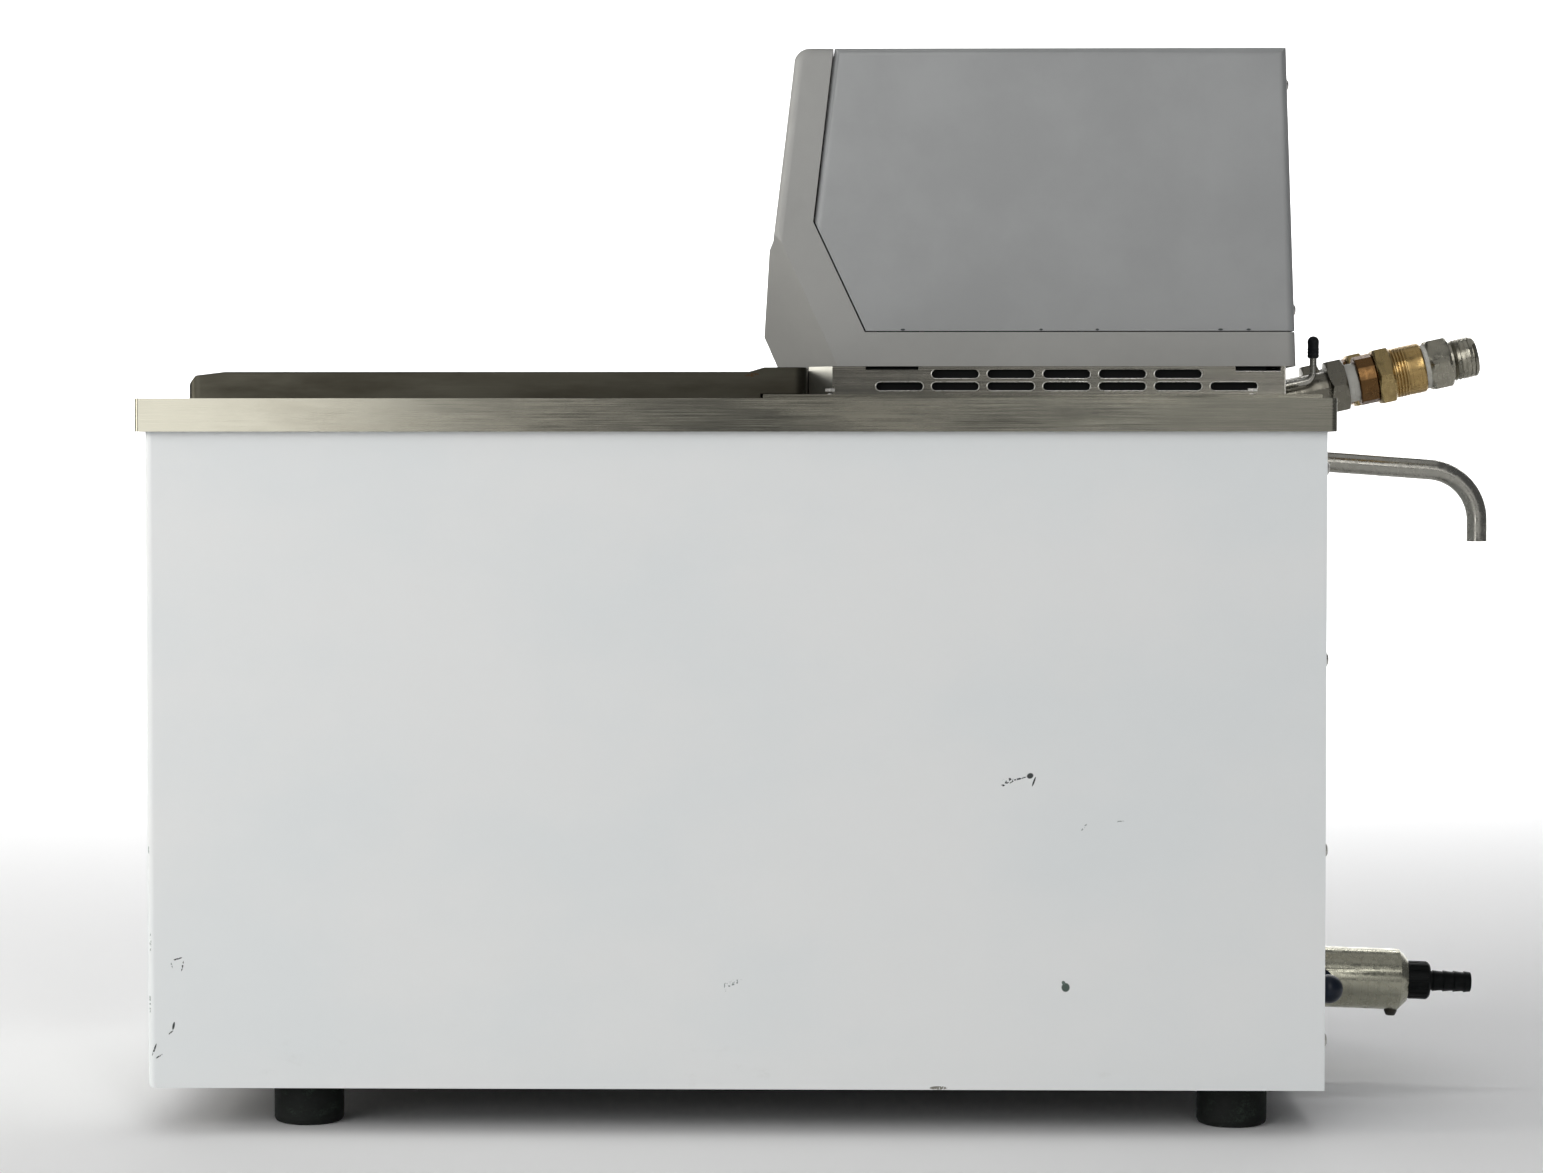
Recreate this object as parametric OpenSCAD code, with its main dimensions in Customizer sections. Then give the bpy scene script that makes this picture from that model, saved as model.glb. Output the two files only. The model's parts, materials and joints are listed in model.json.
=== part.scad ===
// Heated circulating water bath: a steel tank in a painted casing, with a control head on a
// bridge plate over its rear half, a sliding lid over its front half, and pipes at its rear.
// X runs across the bath, the front faces -Y, and Z = 0 is the bench.

/* [Deck and casing] */
// Length of the steel deck, front to rear
deck_l = 540; // [450:2:660]
// Width of the steel deck
deck_w = 350; // [290:2:430]
// Height of the deck's top above the bench
deck_h = 332; // [276:1:400]
// Thickness of the deck's sheet
deck_t = 1.5; // [1:0.1:2]
// Depth of the deck's folded edge
deck_edge = 15; // [10:1:25]
// How far the deck overhangs the casing all round
deck_over = 4; // [3:0.5:6]
// Thickness of the casing's sheet
case_t = 1.2; // [0.8:0.1:1.6]
// Diameter of a rubber foot
foot_d = 32; // [24:1:40]
// Height of a rubber foot
foot_h = 20; // [14:1:30]
// From the casing's front face to the front feet
foot_front = 69; // [40:1:90]
// From the casing's rear face to the rear feet
foot_rear = 38.5; // [30:0.5:60]
// From the casing's sides to the feet
foot_side = 31; // [26:1:40]

/* [Tank] */
// From the deck's front edge to the tank
tank_front = 30; // [24:1:40]
// From the deck's rear edge to the tank
tank_rear = 38; // [34:1:48]
// From the deck's sides to the tank
tank_side = 25; // [22:1:32]
// From the casing's bottom to the tank's floor
tank_lift = 62; // [56:1:80]
// Thickness of the tank's sheet
tank_t = 1.2; // [0.8:0.1:1.6]
// Radius of the tank's upright corners
tank_r = 20; // [12:1:30]

/* [Bridge plate and vent skirt] */
// Length of the bridge plate
plate_l = 252.3; // [240:0.1:280]
// From the deck's rear edge to the bridge plate
plate_rear = 5; // [4:0.5:8]
// From the deck's sides to the bridge plate and the lid
plate_side = 15; // [11:1:20]
// Thickness of the bridge plate
plate_t = 2; // [1.5:0.1:3]
// Length of the vent skirt
skirt_l = 220.7; // [214:0.1:232]
// From the deck's rear edge to the vent skirt
skirt_rear = 16.3; // [14:0.1:20]
// Height of the vent skirt
skirt_h = 13.7; // [13:0.1:18]
// Thickness of the vent skirt's sheet
skirt_t = 1.2; // [0.8:0.1:1.6]
// Length of a vent slot
slot_l = 22.3; // [16:0.1:23]
// Height of a vent slot
slot_h = 4.2; // [3:0.1:4.4]
// Distance from one vent slot to the next
slot_pitch = 25.8; // [25:0.1:27]
// Number of slots in the lower row
slot_count = 7; // [3:1:7]

/* [Lid] */
// Height of the lid above the deck
lid_h = 12.2; // [9:0.1:12.4]
// Thickness of the lid's sheet
lid_t = 1.2; // [0.8:0.1:1.6]
// Gap between the lid and what stands behind it
lid_gap = 0.6; // [0.4:0.1:1.5]

/* [Control head] */
// Width of the control head
head_w = 230; // [216:1:252]
// Height of the control head above the vent skirt
head_h = 147.3; // [140:0.1:170]
// Wall of the head's shells
head_wall = 3; // [2.5:0.1:3.5]
// How far the chin juts out ahead of the vent skirt
chin_out = 21.3; // [19:0.1:24]
// Gap of the seam between the front shell and the hood
seam_gap = 0.5; // [0.3:0.1:0.8]
// Diameter of a key
key_d = 11; // [8:0.5:13]
// Travel of a key
key_travel = 0.8; // [0.4:0.1:0.8]

/* [Pump and heater] */
// From the tank's rear wall to the pump shaft
pump_in = 103.3; // [98:0.1:108]
// Diameter of the pump shaft
shaft_d = 8; // [6:0.5:10]
// Height of the pump housing above the tank's floor
pump_lift = 28; // [20:1:40]
// Diameter of the impeller
impeller_d = 60; // [50:1:66]
// Diameter of the heater's rod
heater_d = 8; // [6:0.5:10]

/* [Pump connections] */
// Outer diameter of the pump tubes
tube_d = 16; // [13:0.5:17]
// Wall of the pump tubes
tube_wall = 1.5; // [1:0.1:2]
// Distance between the two pump tubes
tube_space = 90; // [70:1:110]
// Rise of the pump tubes, in degrees
tube_rise = 12.3; // [10:0.1:13]
// Across the flats of the steel nuts
nut_af = 24.5; // [20:0.5:26]
// Diameter of the nipple's outer thread
thread_d = 20; // [18:0.5:22]
// Diameter of the brass coupling's barrel
barrel_d = 24; // [21:0.5:25]

/* [Overflow and drain] */
// Reach of the overflow pipe behind the deck
over_reach = 97.4; // [95:0.1:120]
// Outer diameter of the overflow pipe
over_d = 10; // [8:0.5:12]
// From the deck's top down to the overflow pipe, at the casing's rear face
over_down = 27; // [26:0.5:40]
// Diameter of the drain body
drain_d = 30; // [27:0.5:34]
// Length of the drain body
drain_l = 62.7; // [56:0.1:64]
// Height of the drain's axis above the casing's bottom
drain_up = 28.9; // [25:0.1:30]
// Diameter of the hose barb
barb_d = 10.4; // [9:0.1:12]

/* [Hidden] */
$fn = 64;

// Gaps: between flat neighbours, round a loose pin, and between a running shaft and its bore
gap = 0.2;
loose = 0.3;
running = 0.05;
far = 900;
// A bend reaches this far into the straight runs it joins, and is this much thinner than they are
weld_reach = 0.3;
weld_step = 0.04;

// The deck reaches from y0 to y1, and the overflow pipe sets the far end of the whole bath
y0 = -(deck_l + over_reach) / 2;
y1 = y0 + deck_l;
case_y0 = y0 + deck_over;
case_y1 = y1 - deck_over;
case_hw = deck_w / 2 - deck_over;
case_z1 = deck_h - deck_t;
tank_y0 = y0 + tank_front;
tank_y1 = y1 - tank_rear;
tank_hw = deck_w / 2 - tank_side;
tank_z0 = foot_h + tank_lift;
plate_y1 = y1 - plate_rear;
plate_y0 = plate_y1 - plate_l;
plate_hw = deck_w / 2 - plate_side;
plate_z1 = deck_h + plate_t;
skirt_y1 = y1 - skirt_rear;
skirt_y0 = skirt_y1 - skirt_l;
skirt_cut = 11;
head_z = plate_z1 + skirt_h;
head_hw = head_w / 2;
pump_y = tank_y1 - pump_in;

// Casing
flange_w = 14;
panel_screw_rows = 4;
panel_screw_span = [foot_h + 22, case_z1 - 30];
pan_lip = 12;
corner_r = 3;
jacket_floor = 12;
screw_room = 9;
tank_lip = 4;
foot_pocket_d = 13;
foot_screw_d = 5;
foot_head_h = 3;
foot_core = 6;

// Head outline, measured from the foot of the vent skirt's front wall, as [y, z]
chin_foot = [7 - chin_out, -1.1];
chin_nose = [-chin_out, 14.8];
chin_top = [3 - chin_out, 54.3];
panel_foot = [4.8 - chin_out, 58.3];
panel_lean = 6.8;
panel_len = head_h - 67;
panel_top = panel_foot + panel_len * [sin(panel_lean), cos(panel_lean)];
brow_r = 7.4;
brow_c = [panel_top[0] + brow_r / cos(panel_lean), head_h - brow_r];
rear_draft = 5.3;
chin_back = 13.3;
brow_arc = [for (a = [90 : 15 : 165]) brow_c + brow_r * [cos(a), sin(a)]];
head_outline = concat(
    [[skirt_l + rear_draft, 0], [skirt_l, head_h]],
    brow_arc,
    [panel_top, panel_foot, chin_top, chin_nose, chin_foot, [-0.8, chin_foot[1]], [-0.4, 0]]
);
seam_knee = [2.1, 66.9];
seam_low = [26.1, 15.9];
seam_lean = 6.7;
facet_top = [head_hw, -12.9, 58.3];
facet_back = [head_hw, chin_back, 0.8];
facet_foot = [head_hw - 40, chin_foot[0], chin_foot[1]];

// Control panel, in the panel's own plane: x across, y up the panel, z out of it
bezel_w = 196;
bezel_h = 62;
bezel_lip = 5;
bezel_sink = 1.2;
bezel_back = -4.5;
window = [94, 32];
window_at = [-18, 9];
window_ledge = 3;
key_y = -19;
key_x = [-58, -38, -18, 2, 22];
key_flange = 1.2;
key_top = -0.3;
lamp_d = 4;
lamp_x = 44;
lamp_y = [21, 9, -3];
switch_at = [-84, 0];
switch_in = [14, 20];
switch_rim = 2;
rocker_tilt = 8;
rocker_axle = -6;
knob_at = [78, -8];
knob_d = 16;
board_back = -14;
board_post_x = [-70.5, 60];

// Pump, heater and sensors
housing_r = impeller_d / 2 + 25;
housing_h = 30;
housing_z = tank_z0 + pump_lift;
housing_floor = 4;
cavity_r = impeller_d / 2 + 4;
column_r = 18;
column_bore = 15;
motor_r = 38;
motor_z = plate_z1 + 18;
motor_h = 80;
shaft_top = motor_z + motor_h + 22;
shaft_r = shaft_d / 2;
coil_r = 60;
coil_pitch = 16;
coil_z = housing_z + housing_h + 24;
coil_turns = 3;
lead_top = plate_z1 + 10;
probe_at = [-95, pump_y - 70];
probe_d = 6;
rod_at = [78, pump_y - 70];
rod_d = 5;
float_z = deck_h - 104;
float_d = 26;
float_h = 28;
collar_h = 3;
float_rise = 44;

// Pump tubes: an upright leg, a bend, and a run that rises to the rear through outlet_at
tube_r = tube_d / 2;
tube_bore = tube_r - tube_wall;
tube_leg_y = tank_y1 - 24.3;
tube_bend = 24;
outlet_at = [y1 + 12.8, deck_h + 7.1];
tube_dir = [cos(tube_rise), sin(tube_rise)];
tube_corner = [tube_leg_y, outlet_at[1] - (outlet_at[0] - tube_leg_y) * tan(tube_rise)];
tube_tangent = tube_bend * tan((90 - tube_rise) / 2);
tube_clear = 1;
boss_y = pump_y + housing_r + 3;
boss_w = tube_d + 8;
elbow_r = tube_leg_y - boss_y - 1;

// Fittings on the end of each pump tube, as distances along it from the nut's inner face
nut_len = 8.4;
tape_end = 13.8;
collar_end = 23;
brass_hex_end = 31;
barrel_end = 46.3;
nipple_hex_end = 59.2;
nipple_end = 72.4;
tube_in_tape = 12;
tape_d = tube_d + 2.5;

// Bypass lever: a crank on a spindle that lies beside the near tube
lever_x = tube_space / 2 + 13;
lever_d = 3.4;
lever_at = [skirt_y1, plate_z1 + 4.2];
lever_elbow_y = y1 + 3.9;
lever_top = plate_z1 + 19.9;
lever_bend = 5;
cap_d = 5.6;
cap_len = 10.6;
bush_r = 3.2;
bush_len = 10;

// Overflow pipe
over_r = over_d / 2;
over_wall = 1;
over_fall = 4.2;
over_bend = 25;
over_at = [case_y1, deck_h - over_down];
over_leg_y = y1 + over_reach - over_r;
over_corner = [over_leg_y, over_at[1] - (over_leg_y - case_y1) * tan(over_fall)];
over_tangent = over_bend * tan((90 - over_fall) / 2);
over_tail = 10.6;
grommet_w = 3;

// Drain
drain_r = drain_d / 2;
drain_fall = 2.1;
drain_z = foot_h + drain_up;
drain_in_y = case_y1 - 70;
pipe_r = 8;
pipe_bore = 6;
pipe_bend = 14;
drain_socket = 12;
drain_bore = 4.5;
drain_chamfer = 4;
nozzle_root = 9;
nozzle_collar_r = 9.1;
nozzle_collar = 11.4;
nozzle_barb = 20.6;
nozzle_bore = 3.25;
valve_at = 18.5;
valve_r = 6;
valve_stem_r = 2.5;
valve_ball_r = 7;
valve_ball_x = 45;

function unit(v) = v / norm(v);
// A closed outline, given anticlockwise, moved inwards by w
function inset(p, w) = [
    for (i = [0 : len(p) - 1])
        let (
            b = p[i],
            u = unit(b - p[(i + len(p) - 1) % len(p)]),
            v = unit(p[(i + 1) % len(p)] - b)
        )
        b + w * [-(u[1] + v[1]), u[0] + v[0]] / (1 + u * v)
];
// A rectangle with rounded corners, and a slot with round ends
function round_rect(w, l, r, n = 6) = [
    for (q = [0 : 3])
        for (i = [0 : n])
            let (a = 90 * q + 90 * i / n, sx = q == 0 || q == 3 ? 1 : -1, sy = q < 2 ? 1 : -1)
            [sx * (w / 2 - r) + r * cos(a), sy * (l / 2 - r) + r * sin(a)]
];
function slot_outline(l, h) = round_rect(l, h, h / 2 - 0.01, 3);

// Draws in the upright plane along the bath: x is Y, y is Z, and z is X
module in_yz() {
    rotate([90, 0, 90]) children();
}
// The same, from an outline of [y, z] points to a slab of width w across the bath
module slab(points, w) {
    in_yz() linear_extrude(w, center = true) polygon(points);
}
module block(x, y, z) {
    translate([x[0], y[0], z[0]]) cube([x[1] - x[0], y[1] - y[0], z[1] - z[0]]);
}
module bar(r, h) {
    cylinder(r = r, h = h);
}
module tube(r, bore, h) {
    difference() {
        bar(r, h);
        translate([0, 0, -1]) bar(bore, h + 2);
    }
}
// A round rod or tube in the upright plane: a straight run, and a bend about centre c
module run_yz(a, b, r, bore = 0) {
    in_yz() translate([a[0], a[1], 0]) rotate([0, 0, atan2(b[1] - a[1], b[0] - a[0])])
        rotate([0, 90, 0]) if (bore > 0) tube(r, bore, norm(b - a)); else bar(r, norm(b - a));
}
module bend_yz(c, radius, from, turn, r, bore = 0) {
    stub = weld_reach / radius * 180 / PI;
    in_yz() translate([c[0], c[1], 0]) rotate([0, 0, from - stub])
        rotate_extrude(angle = turn + 2 * stub) translate([radius, 0]) difference() {
            circle(r - weld_step);
            if (bore > 0) circle(bore + weld_step);
        }
}
// Pan-head screw: its head stands on z = 0 and its shank goes down
module screw(head_r, head_h, shank_r, shank) {
    difference() {
        union() {
            bar(head_r, head_h);
            translate([0, 0, -shank]) bar(shank_r, shank + 0.5);
        }
        for (a = [0, 90]) rotate(a) translate([0, 0, head_h])
            cube([head_r * 1.2, head_r * 0.25, head_h], center = true);
    }
}

// ---- Deck, casing and tank ----

module foot_places() {
    for (x = [-1, 1] * (case_hw - foot_side), y = [case_y0 + foot_front, case_y1 - foot_rear])
        translate([x, y, 0]) children();
}
module rubber_feet() {
    rim = 2.5;
    color("#2b302d") foot_places() difference() {
        rotate_extrude() polygon([
            [0, 0], [foot_d / 2 - rim, 0], [foot_d / 2 - 0.7, 0.7], [foot_d / 2, rim],
            [foot_d / 2, foot_h], [0, foot_h]
        ]);
        translate([0, 0, -1]) bar(foot_pocket_d / 2, foot_core + 1);
        bar(foot_screw_d / 2 + running, foot_h + 1);
    }
}
module foot_screws() {
    color("silver") foot_places() translate([0, 0, foot_core]) rotate([180, 0, 0])
        screw(foot_pocket_d / 2 - 1.5, foot_head_h, foot_screw_d / 2, foot_h - foot_core + case_t + 5);
}
module base_pan() {
    hw = case_hw - case_t - gap;
    ya = case_y0 + case_t + gap;
    yb = case_y1 - 2 * case_t - gap;
    color("gainsboro") difference() {
        block([-hw, hw], [ya, yb], [foot_h, foot_h + pan_lip]);
        block([case_t - hw, hw - case_t], [ya + case_t, yb - case_t], [foot_h + case_t, far]);
        foot_places() bar(foot_screw_d / 2 + gap, far);
    }
}
module casing_shell() {
    inner = case_hw - case_t;
    color("#dfe4e4") union() {
        difference() {
            block([-case_hw, case_hw], [case_y0, case_y1 - case_t], [foot_h, case_z1]);
            block([-inner, inner], [case_y0 + case_t, far], [-1, far]);
        }
        for (s = [-1, 1]) difference() {
            block([s > 0 ? inner - flange_w : -inner, s > 0 ? inner : flange_w - inner],
                [case_y1 - 2 * case_t, case_y1 - case_t], [foot_h, case_z1 - 1]);
            panel_screw_holes();
        }
    }
}
module panel_screw_places() {
    step = (panel_screw_span[1] - panel_screw_span[0]) / (panel_screw_rows - 1);
    for (s = [-1, 1], i = [0 : panel_screw_rows - 1])
        translate([s * (case_hw - case_t - flange_w / 2), case_y1, panel_screw_span[0] + i * step])
            rotate([-90, 0, 0]) children();
}
module panel_screw_holes() {
    panel_screw_places() translate([0, 0, -10]) bar(1.5 + gap, 20);
}
module rear_panel() {
    color("#dfe4e4") difference() {
        block([-case_hw, case_hw], [case_y1 - case_t, case_y1], [foot_h, case_z1]);
        panel_screw_holes();
        tube_cuts();
        overflow_bore(over_r + grommet_w / 2);
        along_drain() translate([0, 0, -10]) bar(pipe_r + gap, 20);
    }
}
module rear_panel_screws() {
    color("silver") panel_screw_places() screw(3, 1.8, 1.5, 8);
}
module insulation_jacket() {
    hw = case_hw - case_t - 2 * gap;
    top = case_z1 - tank_t - 3;
    ya = case_y0 + case_t + 2 * gap;
    yb = case_y1 - screw_room;
    bottom = tank_z0 - tank_t - gap - jacket_floor;
    color("khaki") difference() {
        block([-hw, hw], [ya, yb], [bottom, top]);
        translate([0, 0, bottom + jacket_floor]) tank_prism(tank_t + gap, far);
        tube_cuts();
        overflow_bore(over_r + 1);
        translate([0, drain_in_y, 0]) bar(pipe_r + 1, far);
    }
}
module tank_prism(grow, h) {
    translate([0, (tank_y0 + tank_y1) / 2, 0]) linear_extrude(h)
        polygon(round_rect(2 * (tank_hw + grow), tank_y1 - tank_y0 + 2 * grow, tank_r + grow));
}
module bath_tank() {
    color("#b9bbb6") difference() {
        union() {
            translate([0, 0, tank_z0 - tank_t]) tank_prism(tank_t, case_z1 - tank_z0 + tank_t);
            translate([0, 0, case_z1 - tank_t]) tank_prism(tank_lip, tank_t);
        }
        translate([0, 0, tank_z0]) tank_prism(0, far);
        translate([0, drain_in_y, 0]) bar(pipe_bore, far / 2);
        tube_cuts();
        overflow_bore(over_r + gap / 2);
    }
}
module deck_rim() {
    edge_bottom = deck_h - deck_edge;
    color("#8f8a80") difference() {
        translate([0, (y0 + y1) / 2, edge_bottom]) linear_extrude(deck_edge)
            polygon(round_rect(deck_w, deck_l, corner_r));
        translate([0, (y0 + y1) / 2, edge_bottom - 1]) linear_extrude(deck_edge - deck_t + 1)
            polygon(round_rect(deck_w - 2 * deck_t, deck_l - 2 * deck_t, corner_r - deck_t / 2));
        translate([0, 0, edge_bottom]) tank_prism(0, far);
        tube_cuts();
        plate_screw_places() translate([0, 0, -20]) bar(1.5 + gap, 30);
    }
}

// ---- Bridge plate and vent skirt ----

module plate_screw_places() {
    for (s = [-1, 1], y = [skirt_y0 + 10, skirt_y1 - 19.7])
        translate([s * (plate_hw - 4), y, plate_z1]) children();
}
module bridge_plate() {
    color("#a5a59f") difference() {
        block([-plate_hw, plate_hw], [plate_y0, plate_y1], [deck_h, plate_z1]);
        translate([0, pump_y, 0]) bar(column_bore, far);
        heater_lead_places() bar(heater_d / 2 + loose, far);
        translate([probe_at[0], probe_at[1], 0]) bar(probe_d / 2 + loose, far);
        translate([rod_at[0], rod_at[1], 0]) bar(rod_d / 2 + loose, far);
        tube_cuts();
        plate_screw_places() translate([0, 0, -20]) bar(1.5 + gap, 30);
    }
}
module bridge_plate_screws() {
    color("silver") plate_screw_places() screw(3.2, 2.6, 1.5, 6);
}
module skirt_outline(w) {
    polygon(inset([
        [-head_hw, skirt_y1], [-head_hw, skirt_y0 + skirt_cut], [skirt_cut - head_hw, skirt_y0],
        [head_hw - skirt_cut, skirt_y0], [head_hw, skirt_y0 + skirt_cut], [head_hw, skirt_y1]
    ], w));
}
module vent_slots() {
    first = skirt_y0 + 42.2;
    for (row = [0, 1], i = [row : slot_count - 1 - row])
        in_yz() translate([first + i * slot_pitch, plate_z1 + slot_h + 0.2 + row * 5.7, 0])
            linear_extrude(far, center = true) polygon(slot_outline(slot_l, slot_h));
}
// A shallow gap at the front and a deeper notch at the rear, both in the skirt's top edge
relief_y = [skirt_y0 + 26.4, skirt_y0 + 51];
notch_y = [skirt_y1 - 23, skirt_y1 - 2];
notch_depth = 2.4;
module vent_skirt() {
    color("#6b6558") difference() {
        translate([0, 0, plate_z1]) linear_extrude(skirt_h) skirt_outline(0);
        translate([0, 0, plate_z1 - 1]) linear_extrude(skirt_h + 2) skirt_outline(skirt_t);
        vent_slots();
        block([-far, far], relief_y, [head_z - 1.6, head_z + 1]);
        block([-far, far], notch_y, [head_z - notch_depth, head_z + 1]);
        tube_cuts();
        along_lever() translate([0, 0, -20]) bar(bush_r + running, 40);
        skirt_screw_places() translate([0, 0, -4]) bar(1.5 + gap, 8);
    }
}
module skirt_screw_places() {
    for (x = [-1, 1] * (head_hw - 25)) translate([x, skirt_y1, plate_z1 + skirt_h / 2])
        rotate([-90, 0, 0]) children();
}
module vent_skirt_screws() {
    color("silver") skirt_screw_places() screw(2.3, 1.4, 1.5, 5);
}

// ---- Control head ----

// Everything outside the plane through a, b and c, on the side that x = far is on
module beyond(a, b, c) {
    n = unit(cross(b - a, c - a));
    m = n[0] < 0 ? -n : n;
    translate(a) rotate(a = acos(m[2]), v = [-m[1], m[0], 0])
        translate([-far / 2, -far / 2, 0]) cube(far);
}
module on_head() {
    translate([0, skirt_y0, head_z]) children();
}
// The head's body, shrunk by w on every side
module head_body(w) {
    sunk = w * unit(cross(facet_foot - facet_top, facet_back - facet_top));
    shift = sunk[0] > 0 ? -sunk : sunk;
    difference() {
        slab(w > 0 ? inset(head_outline, w) : head_outline, head_w - 2 * w);
        for (s = [0, 1]) mirror([s, 0, 0])
            beyond(facet_top + shift, facet_back + shift, facet_foot + shift);
    }
}
module head_shell() {
    difference() {
        head_body(0);
        head_body(head_wall);
    }
}
module hood_zone() {
    rise = head_h + 20;
    slab([
        seam_knee, seam_low, [far, seam_low[1]], [far, rise],
        [seam_knee[0] + (rise - seam_knee[1]) * tan(seam_lean), rise]
    ], far);
}
module on_panel() {
    mid = (panel_foot + panel_top) / 2;
    on_head() translate([0, mid[0], mid[1]]) rotate([90 - panel_lean, 0, 0]) children();
}
module head_front_shell() {
    floor_in = 12;
    color("#9b9e9b") difference() {
        on_head() difference() {
            head_shell();
            hood_zone();
        }
        on_panel() cube([bezel_w, bezel_h, 20], center = true);
        block([floor_in - head_hw, head_hw - floor_in],
            [skirt_y0 + floor_in, skirt_y1 - floor_in], [head_z - 2, head_z + head_wall + 0.5]);
    }
}
module on_back(up) {
    slope = atan(rear_draft / head_h);
    on_head() translate([0, skirt_l + rear_draft * (1 - up / head_h), up])
        rotate([slope - 90, 0, 0]) rotate([0, 0, 180]) children();
}
inlet_at = [60, 52];
inlet_cut = [27, 20];
hood_screw_x = head_hw - 12;
module hood_screw_places() {
    for (s = [-1, 1], up = [28, head_h - 15]) on_back(up) translate([s * hood_screw_x, 0, 0]) children();
}
module head_rear_hood() {
    color("#95999a") difference() {
        on_head() intersection() {
            head_shell();
            translate([0, seam_gap, seam_gap]) hood_zone();
        }
        on_back(inlet_at[1]) translate([inlet_at[0], 0, 0])
            cube([inlet_cut[0] + gap, inlet_cut[1] + gap, 30], center = true);
        hood_screw_places() translate([0, 0, -10]) bar(1.5 + gap, 20);
    }
}
module hood_screws() {
    color("silver") hood_screw_places() screw(2.8, 1.6, 1.5, 7);
}
module control_bezel() {
    lip_z = -head_wall - running;
    post_r = 3;
    color("#3f4447") on_panel() union() {
        difference() {
            union() {
                translate([0, 0, (lip_z - bezel_sink) / 2])
                    cube([bezel_w - 2 * gap, bezel_h - 2 * gap, -lip_z - bezel_sink], center = true);
                translate([0, 0, (lip_z + bezel_back) / 2])
                    cube([bezel_w + 2 * bezel_lip, bezel_h + 2 * bezel_lip, lip_z - bezel_back],
                        center = true);
            }
            translate([window_at[0], window_at[1], -bezel_sink])
                cube([window[0] + gap, window[1] + gap, 3], center = true);
            translate([window_at[0], window_at[1], 0])
                cube([window[0] - 2 * window_ledge, window[1] - 2 * window_ledge, 20], center = true);
            for (x = key_x) translate([x, key_y, -10]) bar(key_d / 2 + loose, 12);
            for (y = lamp_y) translate([lamp_x, y, -10]) bar(lamp_d / 2 + gap / 2, 12);
            translate([switch_at[0], switch_at[1], 0]) cube([
                switch_in[0] + 2 * switch_rim + gap, switch_in[1] + 2 * switch_rim + gap, 20
            ], center = true);
            translate([knob_at[0], knob_at[1], -10]) bar(knob_d / 2 + loose, 12);
        }
        for (x = board_post_x, y = [-22, 26])
            translate([x, y, board_back]) bar(post_r, bezel_back - board_back);
    }
}
module display_window() {
    color("#20262b") on_panel() translate([window_at[0], window_at[1], -bezel_sink - 0.9])
        cube([window[0] - gap, window[1] - gap, 1.2], center = true);
}
module display_board() {
    module_h = 5;
    color("darkgreen") on_panel() union() {
        translate([board_post_x[0] - 4, -27, board_back - 1.6])
            cube([board_post_x[1] - board_post_x[0] + 8, 57, 1.6]);
        translate([window_at[0], window_at[1], board_back + module_h / 2])
            cube([window[0] - 10, window[1] - 8, module_h], center = true);
        for (x = key_x) translate([x, key_y, board_back]) bar(3, 0.6);
    }
}
module key(x) {
    flange_top = bezel_back - loose;
    color("#c9cccd") on_panel() translate([x, key_y, 0]) union() {
        translate([0, 0, flange_top - 0.5]) bar(key_d / 2, key_top - flange_top + 0.5);
        translate([0, 0, flange_top - key_flange]) bar(key_d / 2 + 1, key_flange);
        translate([0, 0, board_back + 0.7 + key_travel])
            bar(2, flange_top - board_back - 0.7 - key_travel);
    }
}
module menu_key() {
    key(key_x[0]);
}
module down_key() {
    key(key_x[1]);
}
module up_key() {
    key(key_x[2]);
}
module enter_key() {
    key(key_x[3]);
}
module start_key() {
    key(key_x[4]);
}
module indicator_lamps() {
    color("limegreen") on_panel() for (y = lamp_y) translate([lamp_x, y, -8]) union() {
        bar(lamp_d / 2, 7);
        translate([0, 0, -1]) bar(lamp_d / 2 + 0.6, 1.5);
    }
}
module switch_frame() {
    outer = switch_in + 2 * switch_rim * [1, 1];
    depth = 20;
    color("#17191b") on_panel() translate([switch_at[0], switch_at[1], 0]) difference() {
        translate([-outer[0] / 2, -outer[1] / 2, -depth - 0.8]) cube([outer[0], outer[1], depth]);
        translate([-switch_in[0] / 2, -switch_in[1] / 2, 2 - depth]) cube([switch_in[0], switch_in[1], far]);
        translate([-outer[0], 0, rocker_axle]) rotate([0, 90, 0]) bar(1 + running, 2 * outer[0]);
    }
}
module mains_rocker() {
    half = switch_in[1] / 2 - 1;
    pin = switch_in[0] + switch_rim;
    color("#1f5c3a") on_panel() translate([switch_at[0], switch_at[1], rocker_axle])
        rotate([rocker_tilt, 0, 0]) union() {
            rotate([90, 0, 90]) linear_extrude(switch_in[0] - 2 * loose, center = true) polygon([
                [-half, 4.2], [0, 3], [half, 4.2], [half - 0.6, 1.5], [3, -4], [-3, -4], [0.6 - half, 1.5]
            ]);
            rotate([0, 90, 0]) translate([0, 0, -pin / 2]) bar(1, pin);
        }
}
module overtemp_knob() {
    color("#d0a020") on_panel() translate([knob_at[0], knob_at[1], 0]) difference() {
        union() {
            translate([0, 0, bezel_back + 0.4]) bar(knob_d / 2, -bezel_sink - bezel_back + 0.2);
            translate([0, 0, board_back]) bar(3, bezel_back - board_back + 1);
        }
        translate([0, 0, -bezel_sink + 1]) cube([knob_d * 0.8, 2, 3], center = true);
    }
}
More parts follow.
